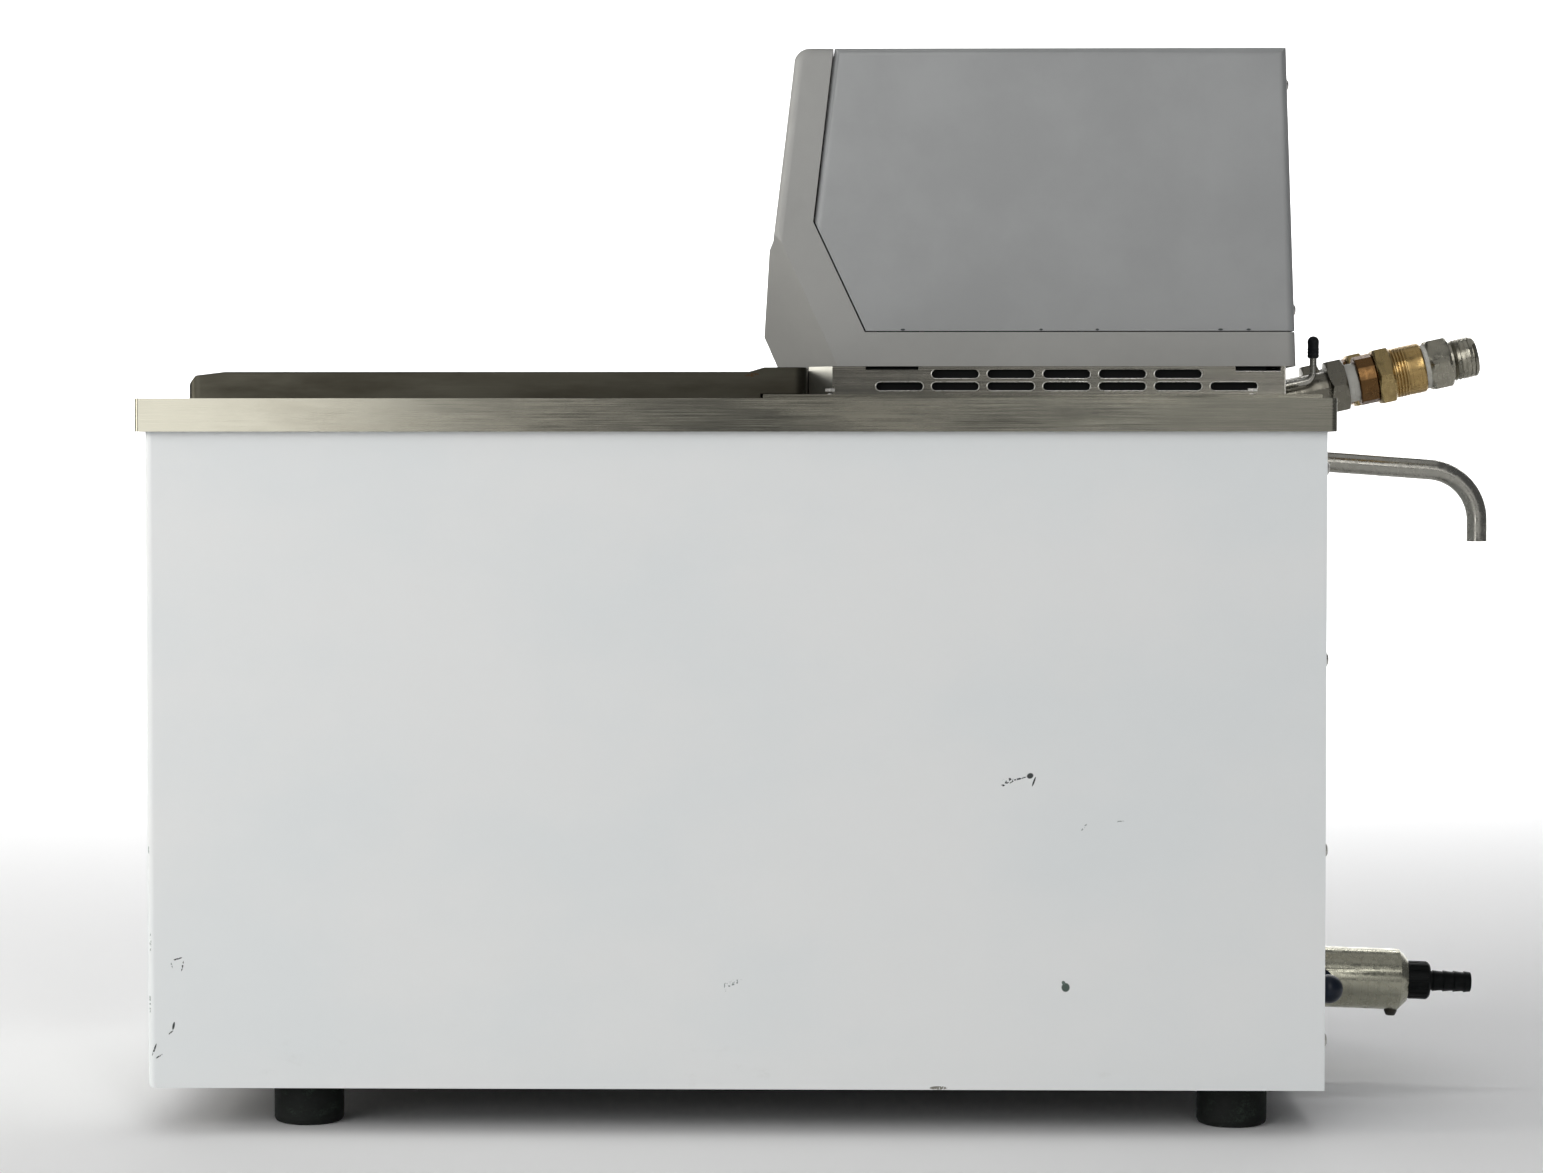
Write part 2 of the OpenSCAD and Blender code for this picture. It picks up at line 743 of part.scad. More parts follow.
module mains_inlet() {
    rim = 4;
    pocket = 16;
    pin_len = 8;
    color("#1c1e20") on_back(inlet_at[1]) translate([inlet_at[0], 0, 0]) union() {
        difference() {
            union() {
                translate([0, 0, 1]) cube([inlet_cut[0] + rim, inlet_cut[1] + rim, 2], center = true);
                translate([0, 0, -11]) cube([inlet_cut[0] - gap, inlet_cut[1] - gap, 24], center = true);
            }
            translate([0, 0, 2 - pocket / 2 + 1])
                cube([inlet_cut[0] - 3.2, inlet_cut[1] - 3.2, pocket + 2], center = true);
        }
        for (p = [[-7, -2], [0, 2], [7, -2]])
            translate([p[0], p[1], 2 - pocket + pin_len / 2 - 0.2]) cube([2, 4, pin_len], center = true);
    }
}

// ---- Pump, heater, sensors and electrics ----

module at_pump(z) {
    translate([0, pump_y, z]) children();
}
module motor_standoffs() {
    color("silver") at_pump(plate_z1) for (a = [30 : 120 : 270])
        rotate(a) translate([motor_r + 2, 0, 0]) bar(4, motor_z - plate_z1);
}
module pump_motor() {
    color("#555b60") at_pump(motor_z) difference() {
        union() {
            bar(motor_r + 7, 3);
            translate([0, 0, 3]) bar(motor_r, motor_h - 10);
            translate([0, 0, motor_h - 7]) bar(motor_r - 8, 7);
        }
        translate([0, 0, -1]) bar(shaft_r + running, motor_h + 2);
    }
}
module pump_shaft() {
    bottom = housing_z + housing_floor + 3;
    color("silver") at_pump(bottom) bar(shaft_r, shaft_top - bottom);
}
module motor_fan() {
    blades = 7;
    span = motor_r - 4;
    color("#2a2c2e") at_pump(shaft_top - 15) difference() {
        union() {
            bar(shaft_r + 5, 12);
            bar(span, 1.5);
            for (i = [0 : blades - 1]) rotate(i * 360 / blades)
                translate([shaft_r + 3, -0.8, 0]) cube([span - shaft_r - 4, 1.6, 11]);
        }
        translate([0, 0, -1]) bar(shaft_r, 20);
    }
}
module impeller() {
    vanes = 6;
    r = impeller_d / 2;
    color("#c8cbd0") at_pump(housing_z + housing_floor + 4) difference() {
        union() {
            translate([0, 0, 10]) bar(r, 3);
            bar(shaft_r + 4, 12);
            for (i = [0 : vanes - 1]) rotate(i * 360 / vanes)
                translate([shaft_r + 2, -1, 0]) cube([r - shaft_r - 3, 2, 11]);
        }
        translate([0, 0, -1]) bar(shaft_r, 20);
    }
}
module pump_column() {
    foot = housing_z + housing_h;
    color("#b5b7b2") at_pump(foot) difference() {
        union() {
            bar(column_r, deck_h - foot);
            translate([0, 0, deck_h - foot - 4]) bar(column_r + 14, 4);
        }
        translate([0, 0, -1]) bar(column_bore, far);
    }
}
module column_bush() {
    color("#d8d4c4") at_pump(housing_z + housing_h) tube(column_bore - running, shaft_r + running, 12);
}
module pump_housing() {
    color("#b5b7b2") at_pump(housing_z) difference() {
        union() {
            bar(housing_r, housing_h);
            block([tube_space / 2 - boss_w / 2, tube_space / 2 + boss_w / 2],
                [0, boss_y - pump_y], [0, housing_h]);
        }
        translate([0, 0, housing_floor]) bar(cavity_r, housing_h - 2 * housing_floor);
        translate([0, 0, -1]) bar(12, housing_floor + 2);
        translate([0, 0, housing_h - housing_floor - 1]) bar(shaft_r + 2, housing_floor + 2);
        translate([tube_space / 2, 0, housing_h / 2]) rotate([-90, 0, 0]) bar(tube_bore, far);
        translate([0, 0, housing_h / 2]) rotate([0, 90, 0]) bar(tube_bore, tube_space / 2);
    }
}
module heater_lead_places() {
    for (s = [-1, 1]) translate([s * coil_r, pump_y, 0]) children();
}
module heater_coil() {
    top = coil_z + (coil_turns - 1) * coil_pitch;
    color("#a8aaa6") union() {
        for (i = [0 : coil_turns - 1]) at_pump(coil_z + i * coil_pitch)
            rotate_extrude() translate([coil_r, 0]) circle(heater_d / 2);
        for (i = [0 : coil_turns - 2]) at_pump(coil_z + i * coil_pitch)
            rotate(90 + 180 * (i % 2)) translate([coil_r, 0, 0]) bar(heater_d / 2 - 0.5, coil_pitch);
        heater_lead_places() translate([0, 0, top]) bar(heater_d / 2 - 0.5, lead_top - top);
    }
}
module temperature_probe() {
    color("silver") translate([probe_at[0], probe_at[1], 0]) union() {
        translate([0, 0, float_z - 40]) bar(probe_d / 2, plate_z1 + 8 - float_z + 40);
        translate([0, 0, plate_z1]) bar(probe_d, 6);
    }
}
module float_rod() {
    color("silver") translate([rod_at[0], rod_at[1], 0]) union() {
        translate([0, 0, float_z - collar_h - 6]) bar(rod_d / 2, plate_z1 + 6 - float_z + collar_h + 6);
        translate([0, 0, float_z - collar_h]) bar(rod_d, collar_h);
        translate([0, 0, float_z + float_h + float_rise + 0.3]) bar(rod_d, collar_h);
        translate([0, 0, plate_z1]) bar(rod_d, 5);
    }
}
module level_float() {
    color("#e8e2d0") translate([rod_at[0], rod_at[1], float_z]) tube(float_d / 2, rod_d / 2 + loose, float_h);
}
board_x = [52, 104];
board_y = [skirt_y0 + 20, skirt_y0 + 120];
board_z = plate_z1 + 22;
module board_corners(z) {
    for (x = [board_x[0] + 5, board_x[1] - 5], y = [board_y[0] + 5, board_y[1] - 5])
        translate([x, y, z]) children();
}
module control_board() {
    color("darkgreen") union() {
        block(board_x, board_y, [board_z, board_z + 1.6]);
        block([board_x[0] + 8, board_x[0] + 30], [board_y[0] + 12, board_y[0] + 32], [board_z + 1, board_z + 18]);
        block([board_x[0] + 8, board_x[0] + 24], [board_y[0] + 45, board_y[0] + 85], [board_z + 1, board_z + 14]);
        translate([board_x[1] - 12, board_y[0] + 40, board_z + 1]) bar(6, 22);
        translate([board_x[1] - 12, board_y[0] + 58, board_z + 1]) bar(6, 22);
    }
}
module board_standoffs() {
    color("#d8d8d0") board_corners(plate_z1) bar(3, board_z - plate_z1);
}
module transformer() {
    x = [-104, -50];
    y = [skirt_y0 + 110, skirt_y0 + 175];
    color("#7a6a50") union() {
        block(x, y, [plate_z1, plate_z1 + 3]);
        block([x[0] + 3, x[1] - 3], [y[0] + 12, y[1] - 12], [plate_z1 + 3, plate_z1 + 48]);
        block([x[0] + 12, x[1] - 12], [y[0] + 4, y[1] - 4], [plate_z1 + 10, plate_z1 + 40]);
    }
}

// ---- Pump tubes, fittings and bypass lever ----

// The upper part of a tube: its upright leg from z, the bend and the rising run to reach s past the nut
module tube_top(z, s, r, bore = 0) {
    leg_top = [tube_corner[0], tube_corner[1] - tube_tangent];
    run_start = tube_corner + tube_tangent * tube_dir;
    centre = [leg_top[0] + tube_bend, leg_top[1]];
    run_yz([leg_top[0], z], leg_top, r, bore);
    bend_yz(centre, tube_bend, 90 + tube_rise, 90 - tube_rise, r, bore);
    run_yz(run_start, outlet_at + s * tube_dir, r, bore);
}
module tube_cuts() {
    for (s = [-1, 1]) translate([s * tube_space / 2, 0, 0])
        tube_top(tube_corner[1] - tube_tangent - 6, nipple_end, tube_r + tube_clear);
}
module pump_outlet_tube() {
    z = housing_z + housing_h / 2;
    color("#a9a69b") translate([tube_space / 2, 0, 0]) union() {
        tube_top(z + elbow_r, tube_in_tape, tube_r, tube_bore);
        bend_yz([tube_leg_y - elbow_r, z + elbow_r], elbow_r, -90, 90, tube_r, tube_bore);
        run_yz([boss_y, z], [tube_leg_y - elbow_r, z], tube_r, tube_bore);
    }
}
module pump_return_tube() {
    color("#a9a69b") translate([-tube_space / 2, 0, 0])
        tube_top(tank_z0 + 90, tube_in_tape, tube_r, tube_bore);
}
// Each end of the two pump tubes, with z along the tube and z = 0 at the nut's inner face
module tube_ends() {
    for (s = [-1, 1]) translate([s * tube_space / 2, outlet_at[0], outlet_at[1]])
        rotate([tube_rise - 90, 0, 0]) children();
}
module hex_bar(af, h) {
    cylinder(d = af / cos(30), h = h, $fn = 6);
}
module tube_nuts() {
    color("#a3a08f") tube_ends() difference() {
        intersection() {
            hex_bar(nut_af, nut_len);
            rotate_extrude() polygon([
                [0, 0], [nut_af / 2, 0], [nut_af / 2 + 2, 1.4], [nut_af / 2 + 2, nut_len - 1.4],
                [nut_af / 2, nut_len], [0, nut_len]
            ]);
        }
        translate([0, 0, -1]) bar(tube_r + running, nut_len + 2);
    }
}
module thread_tape() {
    color("#eceae4") tube_ends() translate([0, 0, nut_len])
        tube(tape_d / 2, tube_r + running, tape_end - nut_len);
}
module brass_couplings() {
    color("#96702f") tube_ends() difference() {
        union() {
            translate([0, 0, tape_end]) cylinder(d = barrel_d - 0.4, h = collar_end - tape_end, $fn = 12);
            translate([0, 0, collar_end]) hex_bar(barrel_d + 2, brass_hex_end - collar_end);
            translate([0, 0, brass_hex_end]) bar(barrel_d / 2, barrel_end - brass_hex_end);
        }
        bar(tube_bore, far);
    }
}
module threaded_nipples() {
    pitch = 1.8;
    turns = 6;
    start = nipple_hex_end + 1.5;
    r = thread_d / 2;
    color("#a3a197") tube_ends() difference() {
        union() {
            translate([0, 0, barrel_end]) hex_bar(nut_af - 1, nipple_hex_end - barrel_end);
            translate([0, 0, nipple_hex_end]) bar(r, nipple_end - nipple_hex_end);
        }
        for (i = [0 : turns - 1]) translate([0, 0, start + i * pitch]) rotate_extrude()
            polygon([[r - 0.7, 0], [r + 1, -0.9], [r + 1, 0.9]]);
        bar(tube_bore, far);
    }
}
module along_lever() {
    translate([lever_x, lever_at[0], lever_at[1]]) rotate([tube_rise - 90, 0, 0]) children();
}
module lever_bush() {
    color("#d8d4c4") along_lever() translate([0, 0, -bush_len / 2])
        tube(bush_r, lever_d / 2 + running, bush_len);
}
lever_corner = [lever_elbow_y, lever_at[1] + (lever_elbow_y - lever_at[0]) * tan(tube_rise)];
lever_tangent = lever_bend * tan((90 - tube_rise) / 2);
module bypass_lever() {
    r = lever_d / 2;
    leg = [lever_elbow_y, lever_corner[1] + lever_tangent];
    color("#8f8d86") translate([lever_x, 0, 0]) union() {
        run_yz(lever_at - 6 * tube_dir, lever_corner - lever_tangent * tube_dir, r);
        bend_yz([leg[0] - lever_bend, leg[1]], lever_bend, tube_rise - 90, 90 - tube_rise, r);
        run_yz(leg, [lever_elbow_y, lever_top], r);
    }
}
module lever_cap() {
    cap_r = cap_d / 2;
    color("#15181f") translate([lever_x, lever_elbow_y, lever_top - 1]) difference() {
        rotate_extrude() polygon(concat(
            [[0, 0], [cap_r - 0.4, 0], [cap_r, 0.6]],
            [for (a = [0 : 15 : 90]) [cap_r * cos(a), cap_len - cap_r + cap_r * sin(a)]]
        ));
        translate([0, 0, -1]) bar(lever_d / 2 + 0.02, 2.02);
    }
}

// ---- Overflow and drain ----

module overflow_run(r, bore) {
    inner = over_at + (tank_y1 - 6 - case_y1) * [1, -tan(over_fall)];
    run_yz(inner, over_corner - over_tangent * [cos(over_fall), -sin(over_fall)], r, bore);
}
module overflow_bore(r) {
    run_yz(over_at + 60 * [-1, tan(over_fall)], over_at + 20 * [1, -tan(over_fall)], r);
}
module overflow_pipe() {
    leg = [over_leg_y, over_corner[1] - over_tangent];
    color("#9a978c") union() {
        overflow_run(over_r, over_r - over_wall);
        bend_yz([leg[0] - over_bend, leg[1]], over_bend, 0, 90 - over_fall, over_r, over_r - over_wall);
        run_yz(leg, leg - [0, over_tail], over_r, over_r - over_wall);
    }
}
module overflow_grommet() {
    color("#222426") translate([0, over_at[0], over_at[1]]) rotate([-90 - over_fall, 0, 0])
        translate([0, 0, -2]) tube(over_r + grommet_w / 2 - running, over_r + running, 4);
}
// z runs out of the casing along the drain, from its rear face
module along_drain() {
    translate([0, case_y1, drain_z]) rotate([-90 - drain_fall, 0, 0]) children();
}
module drain_pipe() {
    slope = tan(drain_fall);
    corner = [drain_in_y, drain_z + (case_y1 - drain_in_y) * slope];
    tangent = pipe_bend * tan((90 - drain_fall) / 2);
    leg = [corner[0], corner[1] + tangent];
    start = corner + tangent * [cos(drain_fall), -sin(drain_fall)];
    finish = [case_y1, drain_z] + drain_socket * [cos(drain_fall), -sin(drain_fall)];
    color("#b5b7b2") union() {
        run_yz(leg, [leg[0], tank_z0 - tank_t], pipe_r, pipe_bore);
        bend_yz([leg[0] + pipe_bend, leg[1]], pipe_bend, 180, 90 - drain_fall, pipe_r, pipe_bore);
        run_yz(start, finish, pipe_r, pipe_bore);
    }
}
module drain_body() {
    color("#a9a698") along_drain() difference() {
        rotate_extrude() polygon([
            [0, 1], [drain_r, 1], [drain_r, drain_l - drain_chamfer],
            [drain_r - drain_chamfer, drain_l], [0, drain_l]
        ]);
        bar(pipe_r + running, drain_socket + 1);
        bar(drain_bore, far);
        translate([0, 0, drain_l - nozzle_root]) bar(6 + running, far);
        translate([0, 0, valve_at]) rotate([0, 90, 0]) translate([0, 0, -drain_bore - 6])
            bar(valve_r + running, far);
    }
}
module drain_nozzle() {
    notch = 0.5;
    r = barb_d / 2;
    step = nozzle_barb / 4;
    color("#101214") along_drain() translate([0, 0, drain_l]) difference() {
        union() {
            translate([0, 0, -nozzle_root]) bar(6, nozzle_root + 1);
            bar(nozzle_collar_r, nozzle_collar);
            translate([0, 0, nozzle_collar]) bar(r, nozzle_barb);
        }
        for (i = [0.6 : 1 : 2.6]) translate([0, 0, nozzle_collar + i * step]) rotate_extrude()
            polygon([[r - notch, 3], [r + notch, -3], [r + notch, 3]]);
        translate([0, 0, -nozzle_root - 1]) bar(nozzle_bore, far);
    }
}
module drain_valve() {
    plug_from = -drain_bore - 5;
    color("#141a26") along_drain() translate([0, 0, valve_at]) rotate([0, 90, 0]) difference() {
        union() {
            translate([0, 0, plug_from]) bar(valve_r, drain_r + 3 - plug_from);
            translate([0, 0, drain_r]) bar(valve_stem_r, valve_ball_x - drain_r);
            translate([0, 0, valve_ball_x]) sphere(r = valve_ball_r);
        }
        rotate([0, 90, 0]) translate([0, 0, -20]) bar(drain_bore - 1, 40);
    }
}

// ---- Lid ----

lid_y0 = y0 + 21.8;
lid_y1 = skirt_y0 - lid_gap;
lid_step_y = plate_y0 - 1;
lid_z1 = deck_h + lid_h;
lid_outline = [
    [lid_y0, deck_h], [lid_step_y, deck_h], [lid_step_y, plate_z1], [lid_y1, plate_z1],
    [lid_y1, lid_z1 + plate_t], [lid_step_y + 1.5, lid_z1 + plate_t], [lid_step_y - 5.3, lid_z1],
    [lid_y0 + 16.8, lid_z1], [lid_y0 + 3.6, lid_z1 - 1.6], [lid_y0, lid_z1 - 5.7]
];
module lid_plan(w) {
    translate([0, (lid_y0 + lid_y1) / 2, 0]) linear_extrude(far)
        polygon(round_rect(2 * (plate_hw - w), lid_y1 - lid_y0 - 2 * w, 6 - w));
}
module bath_lid() {
    open_outline = [
        [lid_y0 + lid_t, deck_h - 10], [lid_y1 - lid_t, deck_h - 10],
        [lid_y1 - lid_t, lid_z1 + plate_t - lid_t], [lid_step_y + 1.9, lid_z1 + plate_t - lid_t],
        [lid_step_y - 4.9, lid_z1 - lid_t], [lid_y0 + 16.8, lid_z1 - lid_t],
        [lid_y0 + 4, lid_z1 - 1.6 - lid_t], [lid_y0 + lid_t, lid_z1 - 5.7]
    ];
    color("#4a473e") difference() {
        intersection() {
            slab(lid_outline, 2 * plate_hw);
            lid_plan(0);
        }
        intersection() {
            slab(open_outline, 2 * (plate_hw - lid_t));
            lid_plan(lid_t);
        }
    }
}

rubber_feet();
foot_screws();
base_pan();
casing_shell();
rear_panel();
rear_panel_screws();
insulation_jacket();
bath_tank();
deck_rim();
bridge_plate();
bridge_plate_screws();
vent_skirt();
vent_skirt_screws();
head_front_shell();
head_rear_hood();
hood_screws();
control_bezel();
display_window();
display_board();
menu_key();
down_key();
up_key();
enter_key();
start_key();
indicator_lamps();
switch_frame();
mains_rocker();
overtemp_knob();
motor_standoffs();
pump_motor();
pump_shaft();
motor_fan();
impeller();
pump_column();
column_bush();
pump_housing();
heater_coil();
temperature_probe();
float_rod();
level_float();
control_board();
board_standoffs();
transformer();
mains_inlet();
pump_outlet_tube();
pump_return_tube();
lever_bush();
bypass_lever();
lever_cap();
tube_nuts();
thread_tape();
brass_couplings();
threaded_nipples();
overflow_pipe();
overflow_grommet();
drain_pipe();
drain_body();
drain_nozzle();
drain_valve();
bath_lid();
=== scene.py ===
"""Looks of a heated circulating water bath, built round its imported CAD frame.

Each sub-assembly is a class that holds its sizes, builds its meshes and dresses them. Every place comes
from the frame's node boxes, its joints or its mounts, and every length is in metres.
"""

import json
import logging
import math
from collections.abc import Callable, Iterable, Sequence
from dataclasses import dataclass
from enum import Enum

import bmesh
import bpy
from mathutils import Matrix, Vector

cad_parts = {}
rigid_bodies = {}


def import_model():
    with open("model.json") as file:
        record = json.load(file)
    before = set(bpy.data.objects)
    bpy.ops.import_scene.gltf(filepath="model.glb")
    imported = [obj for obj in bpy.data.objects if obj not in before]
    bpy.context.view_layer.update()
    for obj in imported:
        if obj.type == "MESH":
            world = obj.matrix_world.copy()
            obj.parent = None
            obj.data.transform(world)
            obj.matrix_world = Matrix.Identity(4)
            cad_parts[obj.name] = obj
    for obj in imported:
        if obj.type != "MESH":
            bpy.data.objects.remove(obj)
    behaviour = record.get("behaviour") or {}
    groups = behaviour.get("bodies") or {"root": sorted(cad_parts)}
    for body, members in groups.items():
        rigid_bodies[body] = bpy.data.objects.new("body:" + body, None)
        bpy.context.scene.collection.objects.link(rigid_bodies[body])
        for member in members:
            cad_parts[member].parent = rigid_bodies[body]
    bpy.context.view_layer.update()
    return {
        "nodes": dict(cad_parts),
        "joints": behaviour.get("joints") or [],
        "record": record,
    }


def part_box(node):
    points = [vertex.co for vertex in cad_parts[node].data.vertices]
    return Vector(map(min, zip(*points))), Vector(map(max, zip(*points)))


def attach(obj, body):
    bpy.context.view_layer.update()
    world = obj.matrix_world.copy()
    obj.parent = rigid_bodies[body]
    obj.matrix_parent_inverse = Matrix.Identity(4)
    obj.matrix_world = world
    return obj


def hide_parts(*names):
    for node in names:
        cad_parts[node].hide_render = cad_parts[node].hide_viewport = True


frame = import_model()

Color = tuple[float, float, float]
Triple = tuple[float, float, float]
Value = bpy.types.NodeSocket | float | Sequence[float]

MM = 0.001
RECORD = frame["record"]
MOUNTS = {m["name"]: m for m in RECORD["mounts"]}
JOINTS = {j["name"]: j for j in frame["joints"]}
SLOT_OF = {s["node"]: s["material_slot"] for s in RECORD["subparts"]}
BODY_OF = {node: body for body, nodes in RECORD["behaviour"]["bodies"].items() for node in nodes}
log = logging.getLogger("water_bath")


class Side(Enum):
    """The ways in which a screw head can point."""

    REAR = (0.0, 1.0, 0.0)
    DOWN = (0.0, 0.0, -1.0)
    UP = (0.0, 0.0, 1.0)

    @property
    def vector(self) -> Vector:
        """The direction as a vector."""
        return Vector(self.value)


@dataclass(frozen=True)
class Axis:
    """A line with a start and a direction, for pieces that are turned about it."""

    start: Vector
    along: Vector

    @property
    def matrix(self) -> Matrix:
        """Turns local Z on to the axis and moves the origin to its start."""
        turn = self.along.to_track_quat("Z", "Y").to_matrix().to_4x4()
        return Matrix.Translation(self.start) @ turn

    @property
    def turn(self) -> Triple:
        """The same turn as angles, for a pattern that follows the axis."""
        return tuple(self.matrix.to_euler())

    def at(self, distance: float) -> Vector:
        """The point at a distance from the start."""
        return self.start + self.along * distance

    def shifted(self, distance: float) -> "Axis":
        """The same line with its start moved along it."""
        return Axis(self.at(distance), self.along)


def mount_axis(name: str) -> Axis:
    """A mount of the record as an axis."""
    mount = MOUNTS[name]
    return Axis(Vector(mount["pos_m"]), Vector(mount["axis"]).normalized())


def middle(node: str) -> Vector:
    """The middle of a CAD node's box."""
    low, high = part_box(node)
    return (low + high) / 2


def shade(color: Color, factor: float, lift: float = 0.0) -> Color:
    """A colour made darker or lighter, and no brighter than white."""
    return tuple(min(1.0, c * factor + lift) for c in color)


# ---- Finishes ----


class Shader:
    """A material's node tree, with the few patterns that the finishes share."""

    def __init__(self, name: str, color: Color, roughness: float, metallic: float = 0.0) -> None:
        """Starts a material.

        Args:
            name: the material's name.
            color: the colour where nothing else is fed in.
            roughness: the roughness where nothing else is fed in.
            metallic: 1 for bare metal.
        """
        self.material = bpy.data.materials.new(name)
        self.material.use_nodes = True
        self.material.diffuse_color = (*color, 1.0)
        self.tree = self.material.node_tree
        self.surface = self.tree.nodes["Principled BSDF"]
        self.roughness = roughness
        self.coords = self.node("ShaderNodeTexCoord").outputs["Object"]
        self.feed("Base Color", (*color, 1.0))
        self.feed("Roughness", roughness)
        self.feed("Metallic", metallic)

    def node(self, kind: str, **settings: object) -> bpy.types.Node:
        """A new node of a kind, with its settings."""
        made = self.tree.nodes.new(kind)
        for key, value in settings.items():
            setattr(made, key, value)
        return made

    def join(self, socket: bpy.types.NodeSocket, value: Value) -> None:
        """Links a socket into another, or sets its number."""
        if isinstance(value, bpy.types.NodeSocket):
            self.tree.links.new(value, socket)
        elif hasattr(socket.default_value, "__len__"):
            given = tuple(value)
            socket.default_value = given + (1.0,) * (len(socket.default_value) - len(given))
        else:
            socket.default_value = value

    def feed(self, name: str, value: Value) -> None:
        """Feeds one of the surface's own inputs."""
        self.join(self.surface.inputs[name], value)

    def placed(self, size: Triple, turn: Triple = (0, 0, 0), centre: Triple = (0, 0, 0)) -> Value:
        """Object coordinates measured from a centre, in a turned frame, in units of size."""
        made = self.node("ShaderNodeMapping", vector_type="TEXTURE")
        self.join(made.inputs["Vector"], self.coords)
        self.join(made.inputs["Location"], centre)
        self.join(made.inputs["Rotation"], turn)
        self.join(made.inputs["Scale"], size)
        return made.outputs["Vector"]

    def noise(self, vector: Value, detail: float = 3.0, roughness: float = 0.5, seed: float = 0.0) -> Value:
        """Cloudy noise at a scale of one."""
        made = self.node("ShaderNodeTexNoise", noise_dimensions="4D")
        self.join(made.inputs["Vector"], vector)
        self.join(made.inputs["W"], seed)
        self.join(made.inputs["Scale"], 1.0)
        self.join(made.inputs["Detail"], detail)
        self.join(made.inputs["Roughness"], roughness)
        return made.outputs["Fac"]

    def window(self, value: Value, low: float, high: float, to: tuple[float, float] = (0, 1)) -> Value:
        """Maps a value from low..high to the two ends of to, smoothly and clamped."""
        made = self.node("ShaderNodeMapRange", interpolation_type="SMOOTHSTEP", clamp=True)
        for name, number in zip(("From Min", "From Max", "To Min", "To Max"), (low, high, *to)):
            self.join(made.inputs[name], number)
        self.join(made.inputs["Value"], value)
        return made.outputs["Result"]

    def maths(self, operation: str, first: Value, second: Value = 0.0) -> Value:
        """One step of arithmetic."""
        made = self.node("ShaderNodeMath", operation=operation)
        self.join(made.inputs[0], first)
        self.join(made.inputs[1], second)
        return made.outputs[0]

    def part(self, vector: Value, letter: str) -> Value:
        """One of a vector's X, Y and Z."""
        made = self.node("ShaderNodeSeparateXYZ")
        self.join(made.inputs[0], vector)
        return made.outputs[letter]

    def length(self, vector: Value) -> Value:
        """A vector's length."""
        made = self.node("ShaderNodeVectorMath", operation="LENGTH")
        self.join(made.inputs[0], vector)
        return made.outputs["Value"]

    def blend(self, share: Value, first: Value, second: Value) -> Value:
        """A colour between two, by a share of the second."""
        made = self.node("ShaderNodeMix", data_type="RGBA")
        for socket, value in zip((made.inputs[0], made.inputs[6], made.inputs[7]), (share, first, second)):
            self.join(socket, value)
        return made.outputs[2]

    def end_on(self) -> Value:
        """How squarely the surface faces the bath's front or rear, from 0 to 1."""
        normal = self.node("ShaderNodeNewGeometry").outputs["Normal"]
        return self.maths("ABSOLUTE", self.part(normal, "Y"))

    def rougher(self, value: Value, low: float, high: float, less: float, more: float) -> Value:
        """The roughness, from less below its own value to more above it, as a value goes from low to high."""
        return self.window(value, low, high, (self.roughness - less, self.roughness + more))

    def bump(self, height: Value, depth: float) -> None:
        """Raises the surface by a height of 0 to 1, depth metres high."""
        made = self.node("ShaderNodeBump")
        self.join(made.inputs["Height"], height)
        self.join(made.inputs["Distance"], depth)
        self.join(made.inputs["Strength"], 1.0)
        self.feed("Normal", made.outputs["Normal"])


@dataclass(frozen=True)
class Mark:
    """A stain, scuff or dot on a flat side, or a patch of painted shade, where it lies and how it is broken
    up.
    """

    at: Triple
    size: Triple
    tilt: float = 0.0
    broken: float = 0.0
    color: Color = (0.03, 0.035, 0.035)

    def mask(self, shader: Shader) -> Value:
        """Where the mark covers the surface, from 0 to 1."""
        inside = shader.length(shader.placed(self.size, (self.tilt, 0, 0), self.at))
        whole = shader.window(inside, 1.0, 0.75)
        if self.broken <= 0:
            return whole
        flecks = shader.noise(shader.placed((0.9 * MM,) * 3), detail=2.0, seed=self.at[1] * 50)
        return shader.maths("MULTIPLY", whole, shader.window(flecks, self.broken, self.broken + 0.06))


def marked(shader: Shader, color: Value, marks: Sequence[Mark]) -> Value:
    """A colour with every mark laid over it."""
    for mark in marks:
        color = shader.blend(mark.mask(shader), color, mark.color)
    return color


